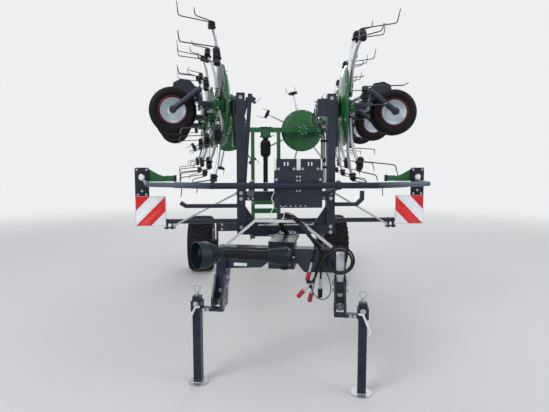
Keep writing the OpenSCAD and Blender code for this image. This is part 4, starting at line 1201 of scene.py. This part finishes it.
# %% Trim of the masts: valve block, pipes, bolts and stay ends
MAST_X, MAST_FRONT, PIPE_X = 0.395, -MAST_Y - 0.0375, 0.338
nozzles, pipes, straps = bmesh.new(), bmesh.new(), bmesh.new()
for z in (2.09, 2.125, 2.16, 2.19):
    lathe(nozzles, mm([(0, 0), (11.5, 0), (11.5, 12), (8, 14), (8, 24), (0, 24)]), 6, 0, move(0.2735, -MAST_Y, z)
          @ turn(-90, "Y"))
for k, z in enumerate((2.09, 2.125, 2.16)):
    x, low_x = 0.236 + 0.014 * k, PIPE_X - 0.013 * (2 - k)
    sweep(pipes, rounded([(0.2515, -MAST_Y, z), (x, -MAST_Y, z), (x, -MAST_Y - 0.004 * k, z - 0.09),
                          (low_x, -MAST_Y - 0.012, 1.98 - 0.04 * k), (low_x, -MAST_Y - 0.012, 1.428)], 0.03, 6),
          0.0055, 8)
for z in (1.85, 1.62):
    block(straps, (0.304, -MAST_Y - 0.022, z - 0.01), (0.3575, -MAST_Y + 0.004, z + 0.01), edge=0.002)
mast_parts = [(shape(nozzles, zinc_coat), HERE), (shape(pipes, black_plastic), HERE),
              (shape(straps, black_plastic), HERE)]
for side in (-1, 1):
    x = side * MAST_X
    mast_parts += bolts_at([(x, MAST_FRONT, z) for z in (2.215, 1.395, 1.345, 1.095, 1.045)], 0.019, "Y", -1)
    mast_parts += bolts_at([(side * 0.4326, -MAST_Y + 0.012, 1.39)], 0.022, "X", side)
    mast_parts.append((made(black_plastic, block, (x - 0.0355, -MAST_Y - 0.0355, 2.2498),
                            (x + 0.0355, -MAST_Y + 0.0355, 2.256), edge=0.002), HERE))
dress("mast_trim", mast_parts, "chassis")

# %% Silver stays, fork bolts and axle bolts
FORK_X, FORK_Y, FORK_Z = 1.085, -1.3718, 1.038
bm = bmesh.new()
low_parts = []
for side in (-1, 1):
    a, b = Vector((side * 0.4381, -MAST_Y + 0.012, 1.39)), Vector((side * FORK_X, FORK_Y, FORK_Z))
    way = (b - a).normalized()
    sweep(bm, [a + way * 0.01, a + way * 0.6, b - way * 0.045], 0.0087, 12)
    for sign in (1, -1):
        low_parts += bolts_at([(side * FORK_X + 0.042 * sign, FORK_Y, FORK_Z)], 0.02, "X", sign)
    low_parts += bolts_at([(side * x, AXLE_Y - 0.07, 0.69 + z) for x in (0.3, 0.72) for z in (-0.035, 0.035)], 0.022,
                          "Y", -1)
low_parts.append((shape(bm, zinc_coat), HERE))
dress("stay_trim", low_parts, "chassis")

# %% Ribs of the hanging drive shaft in the middle
CARDAN_PLACE = FOLDED @ move(0, 0, BEAM_RISE) @ turn(90, "X")
bm = bmesh.new()
for k in range(7):
    z = 0.232 + 0.0265 * k
    lathe(bm, [(0.0868, z - 0.0055), (0.0905, z - 0.003), (0.0905, z + 0.003), (0.0868, z + 0.0055)], 36)
for z in (0.5, 0.9, 1.19):
    lathe(bm, [(0.0398, z - 0.006), (0.0445, z - 0.004), (0.0445, z + 0.004), (0.0398, z + 0.006)], 28)
dress("cardan_trim", [(shape(bm, black_plastic), CARDAN_PLACE), (bolt_ring(0.014, 8, 0.092, 0.1178), CARDAN_PLACE)],
      "folding_frame")

# %% [markdown]
# ## Tie plate of the folding frame and the cable below the panel
#
# A green plate ties the uprights above their cross tube and carries a blank pale strip. A thin pale cable
# hangs in a loop from the panel's corner; both its ends sit in clips on the panel.

# %% Tie plate
# The uprights lean back from their foot to their head, both given as y and z
FOOT_Y, FOOT_Z, HEAD_Y, HEAD_Z, SLOPE, TIE_Z, TIE_FRONT = 1.83, 0.455, 1.9106, 2.2185, 0.0457, 1.05, -0.0066
lean = math.degrees(math.atan2(HEAD_Y - FOOT_Y, HEAD_Z - FOOT_Z))
tie_place = move(0.0, FOOT_Y + (TIE_Z - FOOT_Z) * SLOPE - 0.055, TIE_Z) @ turn(-lean, "X")
tie_parts = [(made(green_paint, block, (-0.248, TIE_FRONT, -0.065), (0.248, 0.0002, 0.065)), HERE)]
tie_parts += bolts_at([(x, TIE_FRONT, z) for x in (-0.222, 0.222) for z in (-0.035, 0.035)], 0.019, "Y", -1)
tie_parts.append((made(board_white, block, (-0.132, -0.0072, 0.008), (-0.05, -0.0064, 0.034), edge=0.0003), HERE))
dress("tie_plate", [(mesh, tie_place @ place) for mesh, place in tie_parts], "folding_frame")

# %% The cable below the panel
LOOP = mm([(-146, 0, 1452), (-160, -1, 1424), (-170, -3, 1398), (-162, -5, 1368), (-156, -6, 1342), (-168, -6, 1310),
           (-180, -6, 1276), (-167, -4, 1236), (-130, -2, 1217), (-93, 0, 1236), (-80, 0, 1277), (-86, 0, 1316),
           (-88, 0, 1346)])
loop_line = curve([(x, PANEL_Y - 0.0075 + y, z) for x, y, z in LOOP], 3)
loop_cable = dress("panel_cable", [(made(edge_white, sweep, loop_line, 0.0026, 8), HERE)], "chassis")
CLIP = made(black_plastic, lathe, mm([(0, -6), (4.6, -6), (5.6, -4), (5.6, 16), (0, 18)]), 16)
CLIP_FOOT = made(black_plastic, block, (-0.007, -0.003, -0.005), (0.007, 0.0085, 0.005), edge=0.001)
clips = []
for end, near in ((loop_line[0], loop_line[1]), (loop_line[-1], loop_line[-2])):
    away = (end - near).normalized()
    clips += [(CLIP, along(end, away)), (CLIP_FOOT, Matrix.Translation(end + away * 0.006))]
lay_cord(loop_cable, loop_line, dress("panel_cable_clips", clips, "chassis"))
